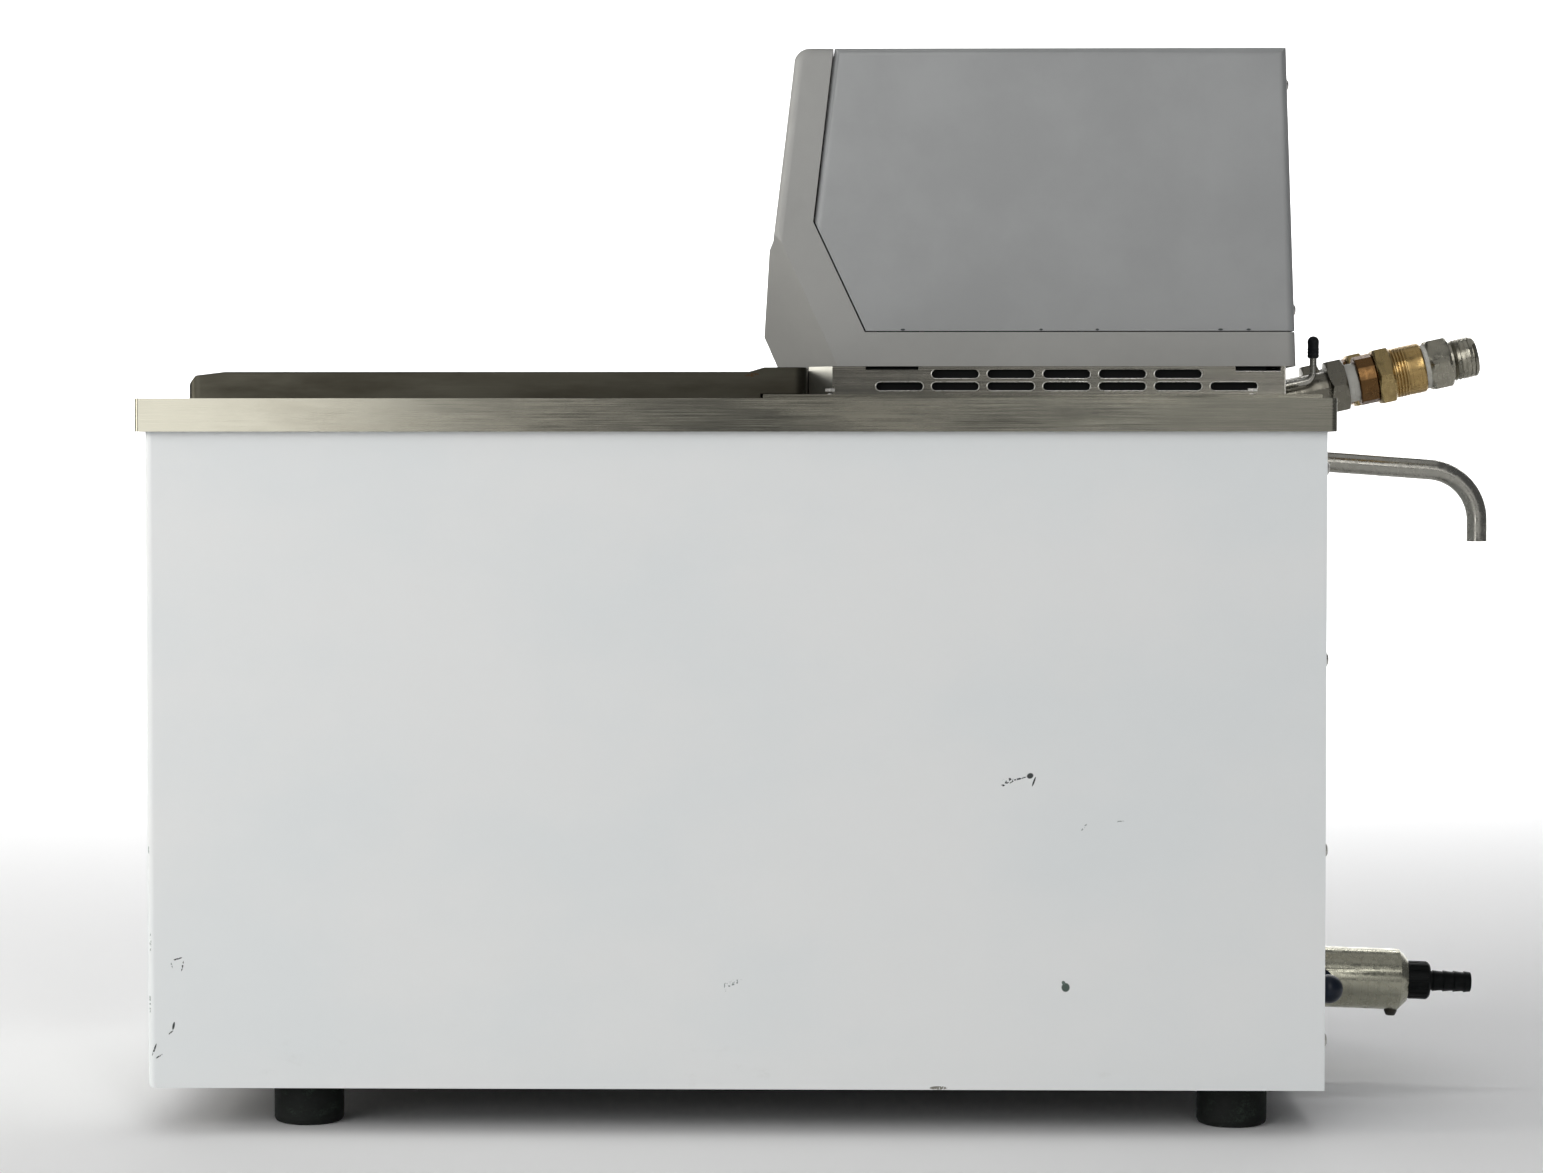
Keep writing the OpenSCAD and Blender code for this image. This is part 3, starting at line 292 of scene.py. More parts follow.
@dataclass(frozen=True)
class PaintedSheet:
    """Sprayed enamel on sheet steel, with handling marks."""

    color: Color
    roughness: float = 0.42
    marks: tuple[Mark, ...] = ()
    cooler: Triple = (0.955, 0.975, 0.985)
    soil: Color = (0.4, 0.38, 0.33)
    soil_height: tuple[float, float] = (60 * MM, 20 * MM)

    def build(self, name: str) -> bpy.types.Material:
        """Makes the material."""
        made = Shader(name, self.color, self.roughness)
        cloud = made.noise(made.placed((0.11, 0.11, 0.07)), detail=4.0)
        cooler = tuple(c * f for c, f in zip(self.color, self.cooler))
        color = made.blend(made.window(cloud, 0.35, 0.68), self.color, cooler)
        grime = made.noise(made.placed((0.02, 0.02, 0.012)), detail=6.0, roughness=0.65, seed=3)
        low = made.window(made.part(made.coords, "Z"), *self.soil_height)
        soiled = made.maths("MULTIPLY", low, made.window(grime, 0.6, 0.85, (0, 0.3)))
        color = made.blend(soiled, color, self.soil)
        made.feed("Base Color", marked(made, color, self.marks))
        peel = made.noise(made.placed((1.6 * MM,) * 3), detail=2.0, seed=5)
        made.feed("Roughness", made.rougher(grime, 0.3, 0.8, 0.04, 0.1))
        made.feed("Coat Weight", 0.25)
        made.feed("Coat Roughness", 0.2)
        made.bump(peel, 0.03 * MM)
        return made.material


@dataclass(frozen=True)
class BrushedSheet:
    """Sheet steel brushed one way, with clouding and stains, and where asked a painted highlight on faces
    towards the front or rear.
    """

    color: Color
    roughness: float = 0.3
    stain: Color = (0.16, 0.13, 0.10)
    stained: float = 0.3
    grain: float = 0.04
    both_ways: bool = False
    painted_end_highlight: Color | None = None
    marks: tuple[Mark, ...] = ()
    fine: float = 0.35 * MM

    def build(self, name: str) -> bpy.types.Material:
        """Makes the material."""
        made = Shader(name, self.color, self.roughness, metallic=1.0)
        lines = made.noise(made.placed((self.fine, self.grain, self.fine)), detail=4.0, roughness=0.6)
        if self.both_ways:
            across = made.noise(made.placed((self.grain, self.fine, self.fine)), detail=4.0, roughness=0.6)
            lines = made.part(made.blend(made.window(made.end_on(), 0.4, 0.6), lines, across), "X")
        dull = made.noise(made.placed((0.02, 0.09, 0.02)), detail=5.0, roughness=0.6, seed=2)
        spots = made.noise(made.placed((0.009, 0.016, 0.009)), detail=6.0, roughness=0.7, seed=7)
        color = made.blend(made.window(lines, 0.3, 0.7), shade(self.color, 0.87), self.color)
        share = made.maths("MULTIPLY", made.window(dull, 0.38, 0.72), self.stained)
        color = made.blend(share, color, self.stain)
        color = made.blend(made.window(spots, 0.66, 0.76, (0, self.stained)), color, self.stain)
        rougher = made.rougher(made.maths("ADD", lines, dull), 0.6, 1.4, 0.07, 0.16)
        # Faces towards the front or rear are painted lighter: a painted highlight for light caught on the
        # skirt's chamfered corners.
        if self.painted_end_highlight:
            ends = made.window(made.end_on(), 0.25, 0.35)
            color = made.blend(ends, color, self.painted_end_highlight)
            rougher = made.maths("ADD", rougher, made.maths("MULTIPLY", ends, 0.3))
        made.feed("Base Color", marked(made, color, self.marks))
        made.feed("Roughness", rougher)
        made.bump(lines, 0.012 * MM)
        return made.material


@dataclass(frozen=True)
class TurnedMetal:
    """Metal turned or polished about an axis, with tool lines round it and bands of colour along it."""

    color: Color
    roughness: float = 0.3
    axis: Axis = Axis(Vector((0, 0, 0)), Vector((0, 1, 0)))
    lines: float = 0.5 * MM
    tarnish: Color = (0.2, 0.16, 0.1)
    tarnished: float = 0.3
    depth: float = 0.02 * MM
    bands: tuple[tuple[float, float, Color], ...] = ()
    band_edge: float = 0.2 * MM

    def build(self, name: str) -> bpy.types.Material:
        """Makes the material."""
        made = Shader(name, self.color, self.roughness, metallic=1.0)
        along = made.placed((0.3, 0.3, self.lines), self.axis.turn, tuple(self.axis.start))
        tool = made.noise(along, detail=3.0)
        patch = made.noise(made.placed((4 * MM,) * 3), detail=5.0, roughness=0.65, seed=4)
        pits = made.noise(made.placed((1.1 * MM,) * 3), detail=3.0, seed=9)
        where = made.part(made.placed((1, 1, 1), self.axis.turn, tuple(self.axis.start)), "Z")
        color: Value = self.color
        for begin, end, band in self.bands:
            rise = made.window(where, begin - self.band_edge, begin + self.band_edge)
            fall = made.window(where, end + self.band_edge, end - self.band_edge)
            color = made.blend(made.maths("MULTIPLY", rise, fall), color, band)
        color = made.blend(made.window(patch, 0.42, 0.7, (0, self.tarnished)), color, self.tarnish)
        color = made.blend(made.window(tool, 0.62, 0.35, (0, 0.25)), color, self.tarnish)
        made.feed("Base Color", color)
        made.feed("Roughness", made.rougher(patch, 0.3, 0.75, 0.08, 0.18))
        relief = made.maths("ADD", made.maths("MULTIPLY", tool, 0.7), made.maths("MULTIPLY", pits, 0.3))
        made.bump(relief, self.depth)
        return made.material


@dataclass(frozen=True)
class Moulded:
    """Moulded plastic with a spark-eroded skin, and dust that settles in it."""

    color: Color
    roughness: float = 0.5
    skin: float = 0.7 * MM
    depth: float = 0.03 * MM
    dust: Color = (0.5, 0.48, 0.4)
    dusty: float = 0.1
    gloss: float = 0.5
    marks: tuple[Mark, ...] = ()

    def build(self, name: str) -> bpy.types.Material:
        """Makes the material."""
        made = Shader(name, self.color, self.roughness)
        made.feed("Specular IOR Level", self.gloss)
        cloud = made.noise(made.placed((0.05,) * 3), detail=5.0, roughness=0.6)
        grain = made.noise(made.placed((self.skin,) * 3), detail=3.0, seed=2)
        specks = made.noise(made.placed((2.2 * MM,) * 3), detail=5.0, roughness=0.7, seed=6)
        color = made.blend(made.window(cloud, 0.35, 0.65), self.color, shade(self.color, 0.93))
        color = made.blend(made.window(specks, 0.6, 0.75, (0, self.dusty)), color, self.dust)
        made.feed("Base Color", marked(made, color, self.marks))
        made.feed("Roughness", made.rougher(cloud, 0.3, 0.7, 0.04, 0.08))
        made.bump(grain, self.depth)
        return made.material


@dataclass(frozen=True)
class Clear:
    """A glossy piece that light passes through or glows from."""

    color: Color
    roughness: float = 0.08
    through: float = 0.0
    glow: float = 0.0

    def build(self, name: str) -> bpy.types.Material:
        """Makes the material."""
        made = Shader(name, self.color, self.roughness)
        smear = made.noise(made.placed((0.012, 0.03, 0.012)), detail=5.0, roughness=0.7)
        lighter = shade(self.color, 1.15, 0.01)
        made.feed("Base Color", made.blend(made.window(smear, 0.4, 0.7), self.color, lighter))
        made.feed("Roughness", made.rougher(smear, 0.35, 0.75, 0.0, 0.14))
        made.feed("Transmission Weight", self.through)
        if self.glow > 0:
            made.feed("Emission Color", self.color)
            made.feed("Emission Strength", self.glow)
        made.bump(smear, 0.01 * MM)
        return made.material


@dataclass(frozen=True)
class Rubbery:
    """Black rubber with pale dust rubbed into it."""

    color: Color
    roughness: float = 0.75
    dust: Color = (0.2, 0.23, 0.2)
    dusty: float = 0.4
    gloss: float = 0.2

    def build(self, name: str) -> bpy.types.Material:
        """Makes the material."""
        made = Shader(name, self.color, self.roughness)
        made.feed("Specular IOR Level", self.gloss)
        patch = made.noise(made.placed((9 * MM, 9 * MM, 5 * MM)), detail=6.0, roughness=0.7)
        fine = made.noise(made.placed((0.8 * MM,) * 3), detail=3.0, seed=3)
        share = made.maths("MULTIPLY", made.window(patch, 0.45, 0.72), made.window(fine, 0.3, 0.6))
        share = made.maths("MULTIPLY", share, self.dusty)
        made.feed("Base Color", made.blend(share, self.color, self.dust))
        made.feed("Roughness", made.rougher(patch, 0.3, 0.7, 0.15, 0.1))
        made.bump(fine, 0.05 * MM)
        return made.material


@dataclass(frozen=True)
class Fibrous:
    """Foam or wool in pale tufts."""

    color: Color
    roughness: float = 0.95
    tuft: float = 2.5 * MM

    def build(self, name: str) -> bpy.types.Material:
        """Makes the material."""
        made = Shader(name, self.color, self.roughness)
        tufts = made.noise(made.placed((self.tuft, self.tuft, self.tuft * 3)), detail=6.0, roughness=0.7)
        share = made.window(tufts, 0.35, 0.65)
        made.feed("Base Color", made.blend(share, shade(self.color, 0.6), self.color))
        made.feed("Sheen Weight", 0.3)
        made.bump(tufts, 0.5 * MM)
        return made.material


@dataclass(frozen=True)
class CircuitBoard:
    """Green lacquer over copper tracks that run in two directions."""

    color: Color
    roughness: float = 0.35
    width: float = 1.3 * MM
    run: float = 50 * MM

    def build(self, name: str) -> bpy.types.Material:
        """Makes the material."""
        made = Shader(name, self.color, self.roughness)
        one = made.noise(made.placed((self.width, self.run, self.width)), detail=0.0, seed=1)
        two = made.noise(made.placed((self.run, self.width, self.width)), detail=0.0, seed=2)
        tracks = made.maths("MAXIMUM", made.window(one, 0.6, 0.62), made.window(two, 0.62, 0.64))
        made.feed("Base Color", made.blend(tracks, self.color, shade(self.color, 1.7, 0.02)))
        made.bump(tracks, 0.03 * MM)
        return made.material


def casing_marks() -> tuple[Mark, ...]:
    """The scuffs, dots and scratches on the casing's right-hand side."""
    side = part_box("casing_shell")[1].x
    near = 2.0 * MM
    black = (0.025, 0.03, 0.03)
    grey = (0.24, 0.27, 0.26)
    rows = [
        (74.6, 160.0, 3.1, 1.5, 0.1, 0.5, black),
        (79.6, 160.9, 3.6, 0.45, 0.25, 0.42, black),
        (84.4, 162.2, 1.7, 1.4, 0.4, 0.0, black),
        (86.1, 159.6, 0.45, 2.6, -0.35, 0.0, black),
        (72.2, 157.9, 1.0, 0.5, 0.0, 0.45, black),
        (100.6, 66.6, 2.1, 2.3, 0.0, 0.0, (0.05, 0.08, 0.065)),
        (99.7, 68.6, 0.9, 1.2, 0.5, 0.0, (0.09, 0.13, 0.11)),
        (108.7, 139.0, 2.2, 0.45, 0.9, 0.46, grey),
        (124.5, 141.6, 2.6, 0.4, 0.1, 0.48, grey),
        (-49.2, 68.4, 4.2, 1.5, 0.4, 0.53, grey),
        (-52.8, 66.5, 0.7, 2.4, 0.1, 0.5, grey),
        (-301.0, 78.6, 2.9, 0.4, 0.3, 0.44, black),
        (-298.6, 75.4, 0.4, 2.7, -0.2, 0.44, black),
        (-303.6, 76.0, 0.35, 1.8, 0.3, 0.5, grey),
        (-302.8, 48.2, 0.6, 2.1, -0.2, 0.0, black),
        (-304.0, 45.2, 1.5, 0.4, 0.7, 0.4, black),
        (-311.6, 37.4, 0.45, 3.4, -0.35, 0.42, black),
        (-309.4, 34.4, 2.0, 0.4, 0.6, 0.42, black),
        (-313.2, 86.0, 0.5, 5.0, 0.0, 0.5, grey),
        (-313.6, 58.0, 0.5, 6.0, 0.0, 0.52, grey),
        (-313.9, 128.0, 0.4, 2.4, 0.0, 0.4, grey),
        (43.3, 20.9, 4.5, 0.9, 0.0, 0.4, (0.2, 0.19, 0.16)),
    ]
    return tuple(
        Mark((side, y * MM, z * MM), (near, half_y * MM, half_z * MM), tilt, broken, color)
        for y, z, half_y, half_z, tilt, broken, color in rows
    )


def seam_gap_shade() -> tuple[Mark, ...]:
    """Painted shade in the gaps of the clips along the lower seam of the head."""
    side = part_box("head_rear_hood")[1].x
    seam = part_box("head_rear_hood")[0].z + 0.6 * MM
    return tuple(
        Mark((side, y * MM, seam), (3 * MM, half * MM, 0.55 * MM)) for y, half in
        ((28.0, 1.2), (92.0, 0.9), (118.0, 0.9), (175.0, 1.3), (188.0, 1.2))
    )


def finishes() -> dict[str, object]:
    """One finish for each material slot of the record."""
    outlet = mount_axis("outlet_thread")
    spout = mount_axis("overflow_spout")
    barb = mount_axis("drain_barb")
    lid_step = Vector((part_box("bath_lid")[1].x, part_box("bridge_plate")[0].y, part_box("bath_lid")[1].z))
    rust_at = tuple(lid_step + Vector((0, -5 * MM, -3.5 * MM)))
    rust = Mark(rust_at, (3 * MM, 3.5 * MM, 0.9 * MM), 0.1, 0.45, (0.07, 0.04, 0.02))
    brown = (0.15, 0.08, 0.03)
    olive = (0.45, 0.34, 0.155)
    return {
        "casing_paint": PaintedSheet((0.78, 0.79, 0.785), marks=casing_marks()),
        "deck_steel": BrushedSheet(
            (0.33, 0.318, 0.262), 0.17,
            (0.22, 0.18, 0.13), 0.18, 0.05, both_ways=True,
        ),
        "tank_steel": BrushedSheet((0.60, 0.60, 0.58), 0.3, (0.35, 0.33, 0.28), 0.25, 0.03),
        "lid_steel": BrushedSheet(
            (0.07, 0.066, 0.051), 0.36,
            (0.032, 0.028, 0.02), 0.8, 0.05, marks=(rust,),
        ),
        # The skirt's faces towards the front and rear carry a painted highlight.
        "skirt_steel": BrushedSheet(
            (0.29, 0.28, 0.24), 0.18,
            (0.13, 0.11, 0.09), 0.4, 0.08, both_ways=True, painted_end_highlight=(0.75, 0.74, 0.68),
        ),
        "pipe_steel": TurnedMetal(
            (0.42, 0.41, 0.37), 0.22, spout, 0.5 * MM,
            (0.3, 0.28, 0.22), 0.08, 0.004 * MM,
        ),
        "drain_steel": TurnedMetal(
            (0.42, 0.41, 0.33), 0.22, barb, 0.6 * MM,
            (0.25, 0.24, 0.17), 0.1, 0.006 * MM,
        ),
        "fitting_steel": TurnedMetal(
            (0.38, 0.365, 0.305), 0.26, outlet, 0.4 * MM,
            (0.2, 0.17, 0.11), 0.18, 0.008 * MM,
        ),
        "nut_steel": TurnedMetal(
            (0.22, 0.21, 0.175), 0.3, outlet, 0.4 * MM,
            (0.14, 0.12, 0.08), 0.2, 0.01 * MM,
        ),
        "dark_steel": BrushedSheet((0.07, 0.066, 0.055), 0.35, (0.03, 0.026, 0.02), 0.4, 2 * MM),
        "screw_steel": BrushedSheet((0.66, 0.65, 0.62), 0.24, (0.25, 0.22, 0.18), 0.3, 2 * MM),
        "brass": TurnedMetal(
            (0.5, 0.345, 0.14), 0.27, outlet, 0.7 * MM, (0.16, 0.09, 0.04), 0.3, 0.02 * MM,
            bands=((-54 * MM, -42.9 * MM, brown), (-42.7 * MM, -34.9 * MM, olive)),
        ),
        "head_front_plastic": Moulded((0.345, 0.343, 0.328), 0.45, dusty=0.06),
        # The hood's marks are painted shade in the clip gaps along its lower seam.
        "head_rear_plastic": Moulded((0.338, 0.344, 0.344), 0.48, dusty=0.05, marks=seam_gap_shade()),
        "bezel_plastic": Moulded((0.07, 0.08, 0.09), 0.4),
        "key_plastic": Moulded((0.62, 0.63, 0.62), 0.45),
        "black_plastic": Moulded((0.018, 0.02, 0.022), 0.4),
        "rocker_plastic": Clear((0.02, 0.13, 0.05), 0.12, glow=0.15),
        "lamp_plastic": Clear((0.12, 0.5, 0.14), 0.1, glow=0.3),
        "display_glass": Clear((0.02, 0.025, 0.03), 0.06, through=0.6),
        "knob_plastic": Moulded((0.62, 0.36, 0.05), 0.42),
        "foot_rubber": Rubbery((0.008, 0.0095, 0.0085), dust=(0.06, 0.085, 0.065)),
        "black_rubber": Rubbery((0.010, 0.011, 0.014), 0.55, dusty=0.12),
        "valve_plastic": Moulded((0.007, 0.013, 0.028), 0.28, 1.2 * MM, 0.04 * MM, dusty=0.02, gloss=0.35),
        "nozzle_plastic": Moulded((0.004, 0.005, 0.005), 0.4, 1.0 * MM, 0.04 * MM, dusty=0.01, gloss=0.12),
        "tape": Rubbery((0.62, 0.61, 0.56), 0.6, (0.36, 0.33, 0.26), 0.5),
        "float_plastic": Moulded((0.72, 0.69, 0.6), 0.4),
        "bush_plastic": Moulded((0.66, 0.62, 0.52), 0.42),
        "insulation": Fibrous((0.72, 0.62, 0.35)),
        "board": CircuitBoard((0.02, 0.14, 0.06)),
        "transformer_core": TurnedMetal(
            (0.2, 0.17, 0.14), 0.5,
            Axis(Vector(), Vector((1, 0, 0))), 0.5 * MM,
        ),
        "motor_metal": PaintedSheet((0.16, 0.18, 0.2), 0.4),
        "fan_plastic": Moulded((0.03, 0.03, 0.034), 0.45),
    }


class Palette:
    """The record's slots and the material that each one has here."""

    def __init__(self) -> None:
        """Holds every finish, and builds none of them yet."""
        self.finishes = finishes()
        self.made: dict[str, bpy.types.Material] = {}

    def material(self, slot: str) -> bpy.types.Material:
        """The material of a slot, built when it is first wanted."""
        if slot not in self.made:
            self.made[slot] = self.finishes[slot].build(slot)
        return self.made[slot]


# ---- Mesh tools ----


def lathe(section: Sequence[tuple[float, float]], sides: int = 48) -> bpy.types.Mesh:
    """Turns a section about Z.

    Args:
        section: (radius, height) points; an end at radius 0 becomes a pole.
        sides: how many flats the turn has.

    Returns:
        A closed mesh, if the section starts and ends on the axis or returns to its start.
    """
    made = bmesh.new()
    rings = []
    for radius, height in section:
        if radius <= 0:
            rings.append([made.verts.new((0, 0, height))])
            continue
        angles = [math.tau * i / sides for i in range(sides)]
        rings.append([made.verts.new((radius * math.cos(a), radius * math.sin(a), height)) for a in angles])
    for low, high in zip(rings, rings[1:]):
        for i in range(sides):
            j = i + 1
            corners = [low[i % len(low)], low[j % len(low)], high[j % len(high)], high[i % len(high)]]
            corners = list(dict.fromkeys(corners))
            if len(corners) > 2:
                made.faces.new(corners)
    return closed(made)


def closed(made: bmesh.types.BMesh) -> bpy.types.Mesh:
    """Merges a shape's doubles, points its faces outwards and gives it as a mesh."""
    bmesh.ops.remove_doubles(made, verts=made.verts, dist=1e-7)
    bmesh.ops.recalc_face_normals(made, faces=made.faces)
    mesh = bpy.data.meshes.new("shape")
    made.to_mesh(mesh)
    made.free()
    return mesh


def prism(outline: Sequence[tuple[float, float]], low: float, high: float) -> bpy.types.Mesh:
    """An outline in X and Y drawn out along Z."""
    made = bmesh.new()
    bottom = made.faces.new([made.verts.new((x, y, low)) for x, y in outline])
    raised = bmesh.ops.extrude_face_region(made, geom=[bottom])["geom"]
    top = [v for v in raised if isinstance(v, bmesh.types.BMVert)]
    bmesh.ops.translate(made, verts=top, vec=(0, 0, high - low))
    return closed(made)


def rectangle(half_x: float, half_y: float, y: float = 0.0) -> list[tuple[float, float]]:
    """The outline of a rectangle on the Y axis."""
    return [(-half_x, y - half_y), (half_x, y - half_y), (half_x, y + half_y), (-half_x, y + half_y)]


def joined(meshes: Iterable[bpy.types.Mesh]) -> bpy.types.Mesh:
    """Several meshes as one."""
    made = bmesh.new()
    for mesh in meshes:
        made.from_mesh(mesh)
        bpy.data.meshes.remove(mesh)
    mesh = bpy.data.meshes.new("shape")
    made.to_mesh(mesh)
    made.free()
    return mesh


def moved(mesh: bpy.types.Mesh, matrix: Matrix) -> bpy.types.Mesh:
    """The same mesh, put in its place."""
    mesh.transform(matrix)
    return mesh


def path_of(points: Sequence[Vector]) -> bpy.types.Mesh:
    """A mesh of edges that joins points in their order."""
    mesh = bpy.data.meshes.new("path")
    mesh.from_pydata([tuple(p) for p in points], [(i, i + 1) for i in range(len(points) - 1)], [])
    return mesh


def route(corners: Sequence[Vector], bends: Sequence[float], steps: int = 14) -> bpy.types.Mesh:
    """A path of straight runs with a round bend at each inner corner.

    Args:
        corners: the ends of the path and the corners between them.
        bends: the bend's radius at each inner corner.
        steps: how many pieces each bend has.

    Returns:
        A mesh of edges, which a tube can follow.
    """
    points = [corners[0]]
    for before, corner, after, radius in zip(corners, corners[1:], corners[2:], bends):
        back = (before - corner).normalized()
        ahead = (after - corner).normalized()
        half = back.angle(ahead) / 2
        centre = corner + (back + ahead).normalized() * radius / math.sin(half)
        start = corner + back * radius / math.tan(half) - centre
        end = corner + ahead * radius / math.tan(half) - centre
        points += [centre + start.slerp(end, i / steps).normalized() * radius for i in range(steps + 1)]
    return path_of([*points, corners[-1]])


def hexagon(across: float, height: float, chamfer: float) -> bpy.types.Mesh:
    """A hexagonal bar with its corners turned off at both ends, on Z = 0.

    Args:
        across: the width across two flats.
        height: the bar's height.
        chamfer: how far the turned edge comes down at a corner.

    Returns:
        A closed mesh.
    """
    made = bmesh.new()
    corner, flat = across / math.sqrt(3), across / 2
    face_r = flat * 0.985
    shallow, deeper = chamfer * 0.55, chamfer * 0.45
    sixth, sides = math.pi / 3, 48
    rings = []
    for z, inward in ((0, 0), (shallow, 1), (height - shallow, -1), (height, 0)):
        ring = []
        for a in (math.tau * i / sides for i in range(sides)):
            off_corner = abs((a + sixth / 2) % sixth - sixth / 2)
            wall_r = min(flat / math.cos(sixth / 2 - off_corner), corner)
            radius = wall_r if inward else face_r
            drop = inward * deeper * (wall_r - flat) / (corner - flat)
            ring.append(made.verts.new((radius * math.cos(a), radius * math.sin(a), z + drop)))
        rings.append(ring)
    for low, high in zip(rings, rings[1:]):
        for i in range(sides):
            made.faces.new([low[i], low[(i + 1) % sides], high[(i + 1) % sides], high[i]])
    made.faces.new(list(reversed(rings[0])))
    made.faces.new(rings[-1])
    return closed(made)


def cad_copy(node: str) -> bmesh.types.BMesh:
    """A CAD node's shape with its doubles merged and its flat faces whole."""
    made = bmesh.new()
    made.from_mesh(frame["nodes"][node].data)
    bmesh.ops.remove_doubles(made, verts=made.verts, dist=1e-6)
    bmesh.ops.dissolve_limit(made, angle_limit=math.radians(0.4), verts=made.verts, edges=made.edges)
    return made


def islands(node: str) -> list[list[Vector]]:
    """The vertices of each separate solid of a CAD node."""
    made = cad_copy(node)
    left = set(made.verts)
    groups = []
    while left:
        group = {left.pop()}
        edge = set(group)
        while edge:
            edge = {e.other_vert(v) for v in edge for e in v.link_edges} - group
            group |= edge
        left -= group
        groups.append([v.co.copy() for v in group])
    made.free()
    return sorted(groups, key=lambda g: tuple(round(x, 4) for x in sum(g, Vector()) / len(g)))


# ---- Geometry Nodes ----


class Recipe:
    """A Geometry Nodes tree with named inputs, for a shape that repeats or follows a path."""

    def __init__(self, name: str) -> None:
        """Starts a tree that takes a geometry and a material."""
        self.group = bpy.data.node_groups.new(name, "GeometryNodeTree")
        face = self.group.interface
        face.new_socket("Geometry", in_out="INPUT", socket_type="NodeSocketGeometry")
        face.new_socket("Geometry", in_out="OUTPUT", socket_type="NodeSocketGeometry")
        self.source = self.group.nodes.new("NodeGroupInput")
        self.sink = self.group.nodes.new("NodeGroupOutput")
        self.ids: dict[str, str] = {}
        self.material = self.value("Material", "NodeSocketMaterial")

    def value(self, name: str, kind: str = "NodeSocketFloat") -> bpy.types.NodeSocket:
        """A named input of the tree."""
        made = self.group.interface.new_socket(name, in_out="INPUT", socket_type=kind)
        self.ids[name] = made.identifier
        return self.source.outputs[name]

    def node(self, kind: str, inputs: dict[str | int, Value], **settings: object) -> bpy.types.NodeSocket:
        """Adds a node.

        Args:
            kind: the node's type.
            inputs: what its inputs are linked to or set to, by name or number.
            settings: the node's own settings.

        Returns:
            The node's first output.
        """
        made = self.group.nodes.new(kind)
        for key, setting in settings.items():
            setattr(made, key, setting)
        for key, value in inputs.items():
            if isinstance(value, bpy.types.NodeSocket):
                self.group.links.new(value, made.inputs[key])
            else:
                made.inputs[key].default_value = value
        return made.outputs[0]

    def maths(self, operation: str, first: Value, second: Value = 0.0) -> bpy.types.NodeSocket:
        """One step of arithmetic."""
        return self.node("ShaderNodeMath", {0: first, 1: second}, operation=operation)

    def vector(self, x: Value = 0.0, y: Value = 0.0, z: Value = 0.0) -> bpy.types.NodeSocket:
        """Three numbers as a vector."""
        return self.node("ShaderNodeCombineXYZ", {"X": x, "Y": y, "Z": z})

    def group_of(self, parts: Sequence[bpy.types.NodeSocket]) -> bpy.types.NodeSocket:
        """Several geometries as one."""
        made = self.group.nodes.new("GeometryNodeJoinGeometry")
        for socket in parts:
            self.group.links.new(socket, made.inputs[0])
        return made.outputs[0]

    def moved(self, geometry: Value, z: Value) -> bpy.types.NodeSocket:
        """A geometry moved along Z."""
        return self.node("GeometryNodeTransform", {"Geometry": geometry, "Translation": self.vector(z=z)})

    def end(self, geometry: bpy.types.NodeSocket) -> "Recipe":
        """Realizes the shape, gives it its material and sends it out."""
        real = self.node("GeometryNodeRealizeInstances", {0: geometry})
        done = self.node("GeometryNodeSetMaterial", {"Geometry": real, "Material": self.material})
        self.group.links.new(done, self.sink.inputs[0])
        return self

    def make(self, base: bpy.types.Mesh, material: bpy.types.Material, **values: object) -> bpy.types.Mesh:
        """Runs the tree on a mesh.

        Args:
            base: the mesh that goes in, such as a path or a set of points.
            material: what the shape is made of.
            values: the tree's inputs, by name, with an underscore for each space.

        Returns:
            The finished plain mesh.
        """
        carrier = bpy.data.objects.new("carrier", base)
        bpy.context.scene.collection.objects.link(carrier)
        modifier = carrier.modifiers.new("recipe", "NODES")
        modifier.node_group = self.group
        modifier[self.ids["Material"]] = material
        for name, value in values.items():
            modifier[self.ids[name.replace("_", " ")]] = value
        evaluated = carrier.evaluated_get(bpy.context.evaluated_depsgraph_get())
        mesh = bpy.data.meshes.new_from_object(evaluated)
        carrier.modifiers.remove(modifier)
        bpy.data.objects.remove(carrier)
        bpy.data.meshes.remove(base)
        return mesh


def tube_recipe() -> Recipe:
    """A round rod or an open tube that follows a path."""
    made = Recipe("tube along a path")
    radius, sides = made.value("Radius"), made.value("Sides", "NodeSocketInt")
    caps = made.value("Caps", "NodeSocketBool")
    path = made.node("GeometryNodeMeshToCurve", {"Mesh": made.source.outputs["Geometry"]})
    ring = made.node("GeometryNodeCurvePrimitiveCircle", {"Resolution": sides, "Radius": radius})
    return made.end(
        made.node("GeometryNodeCurveToMesh", {"Curve": path, "Profile Curve": ring, "Fill Caps": caps})
    )


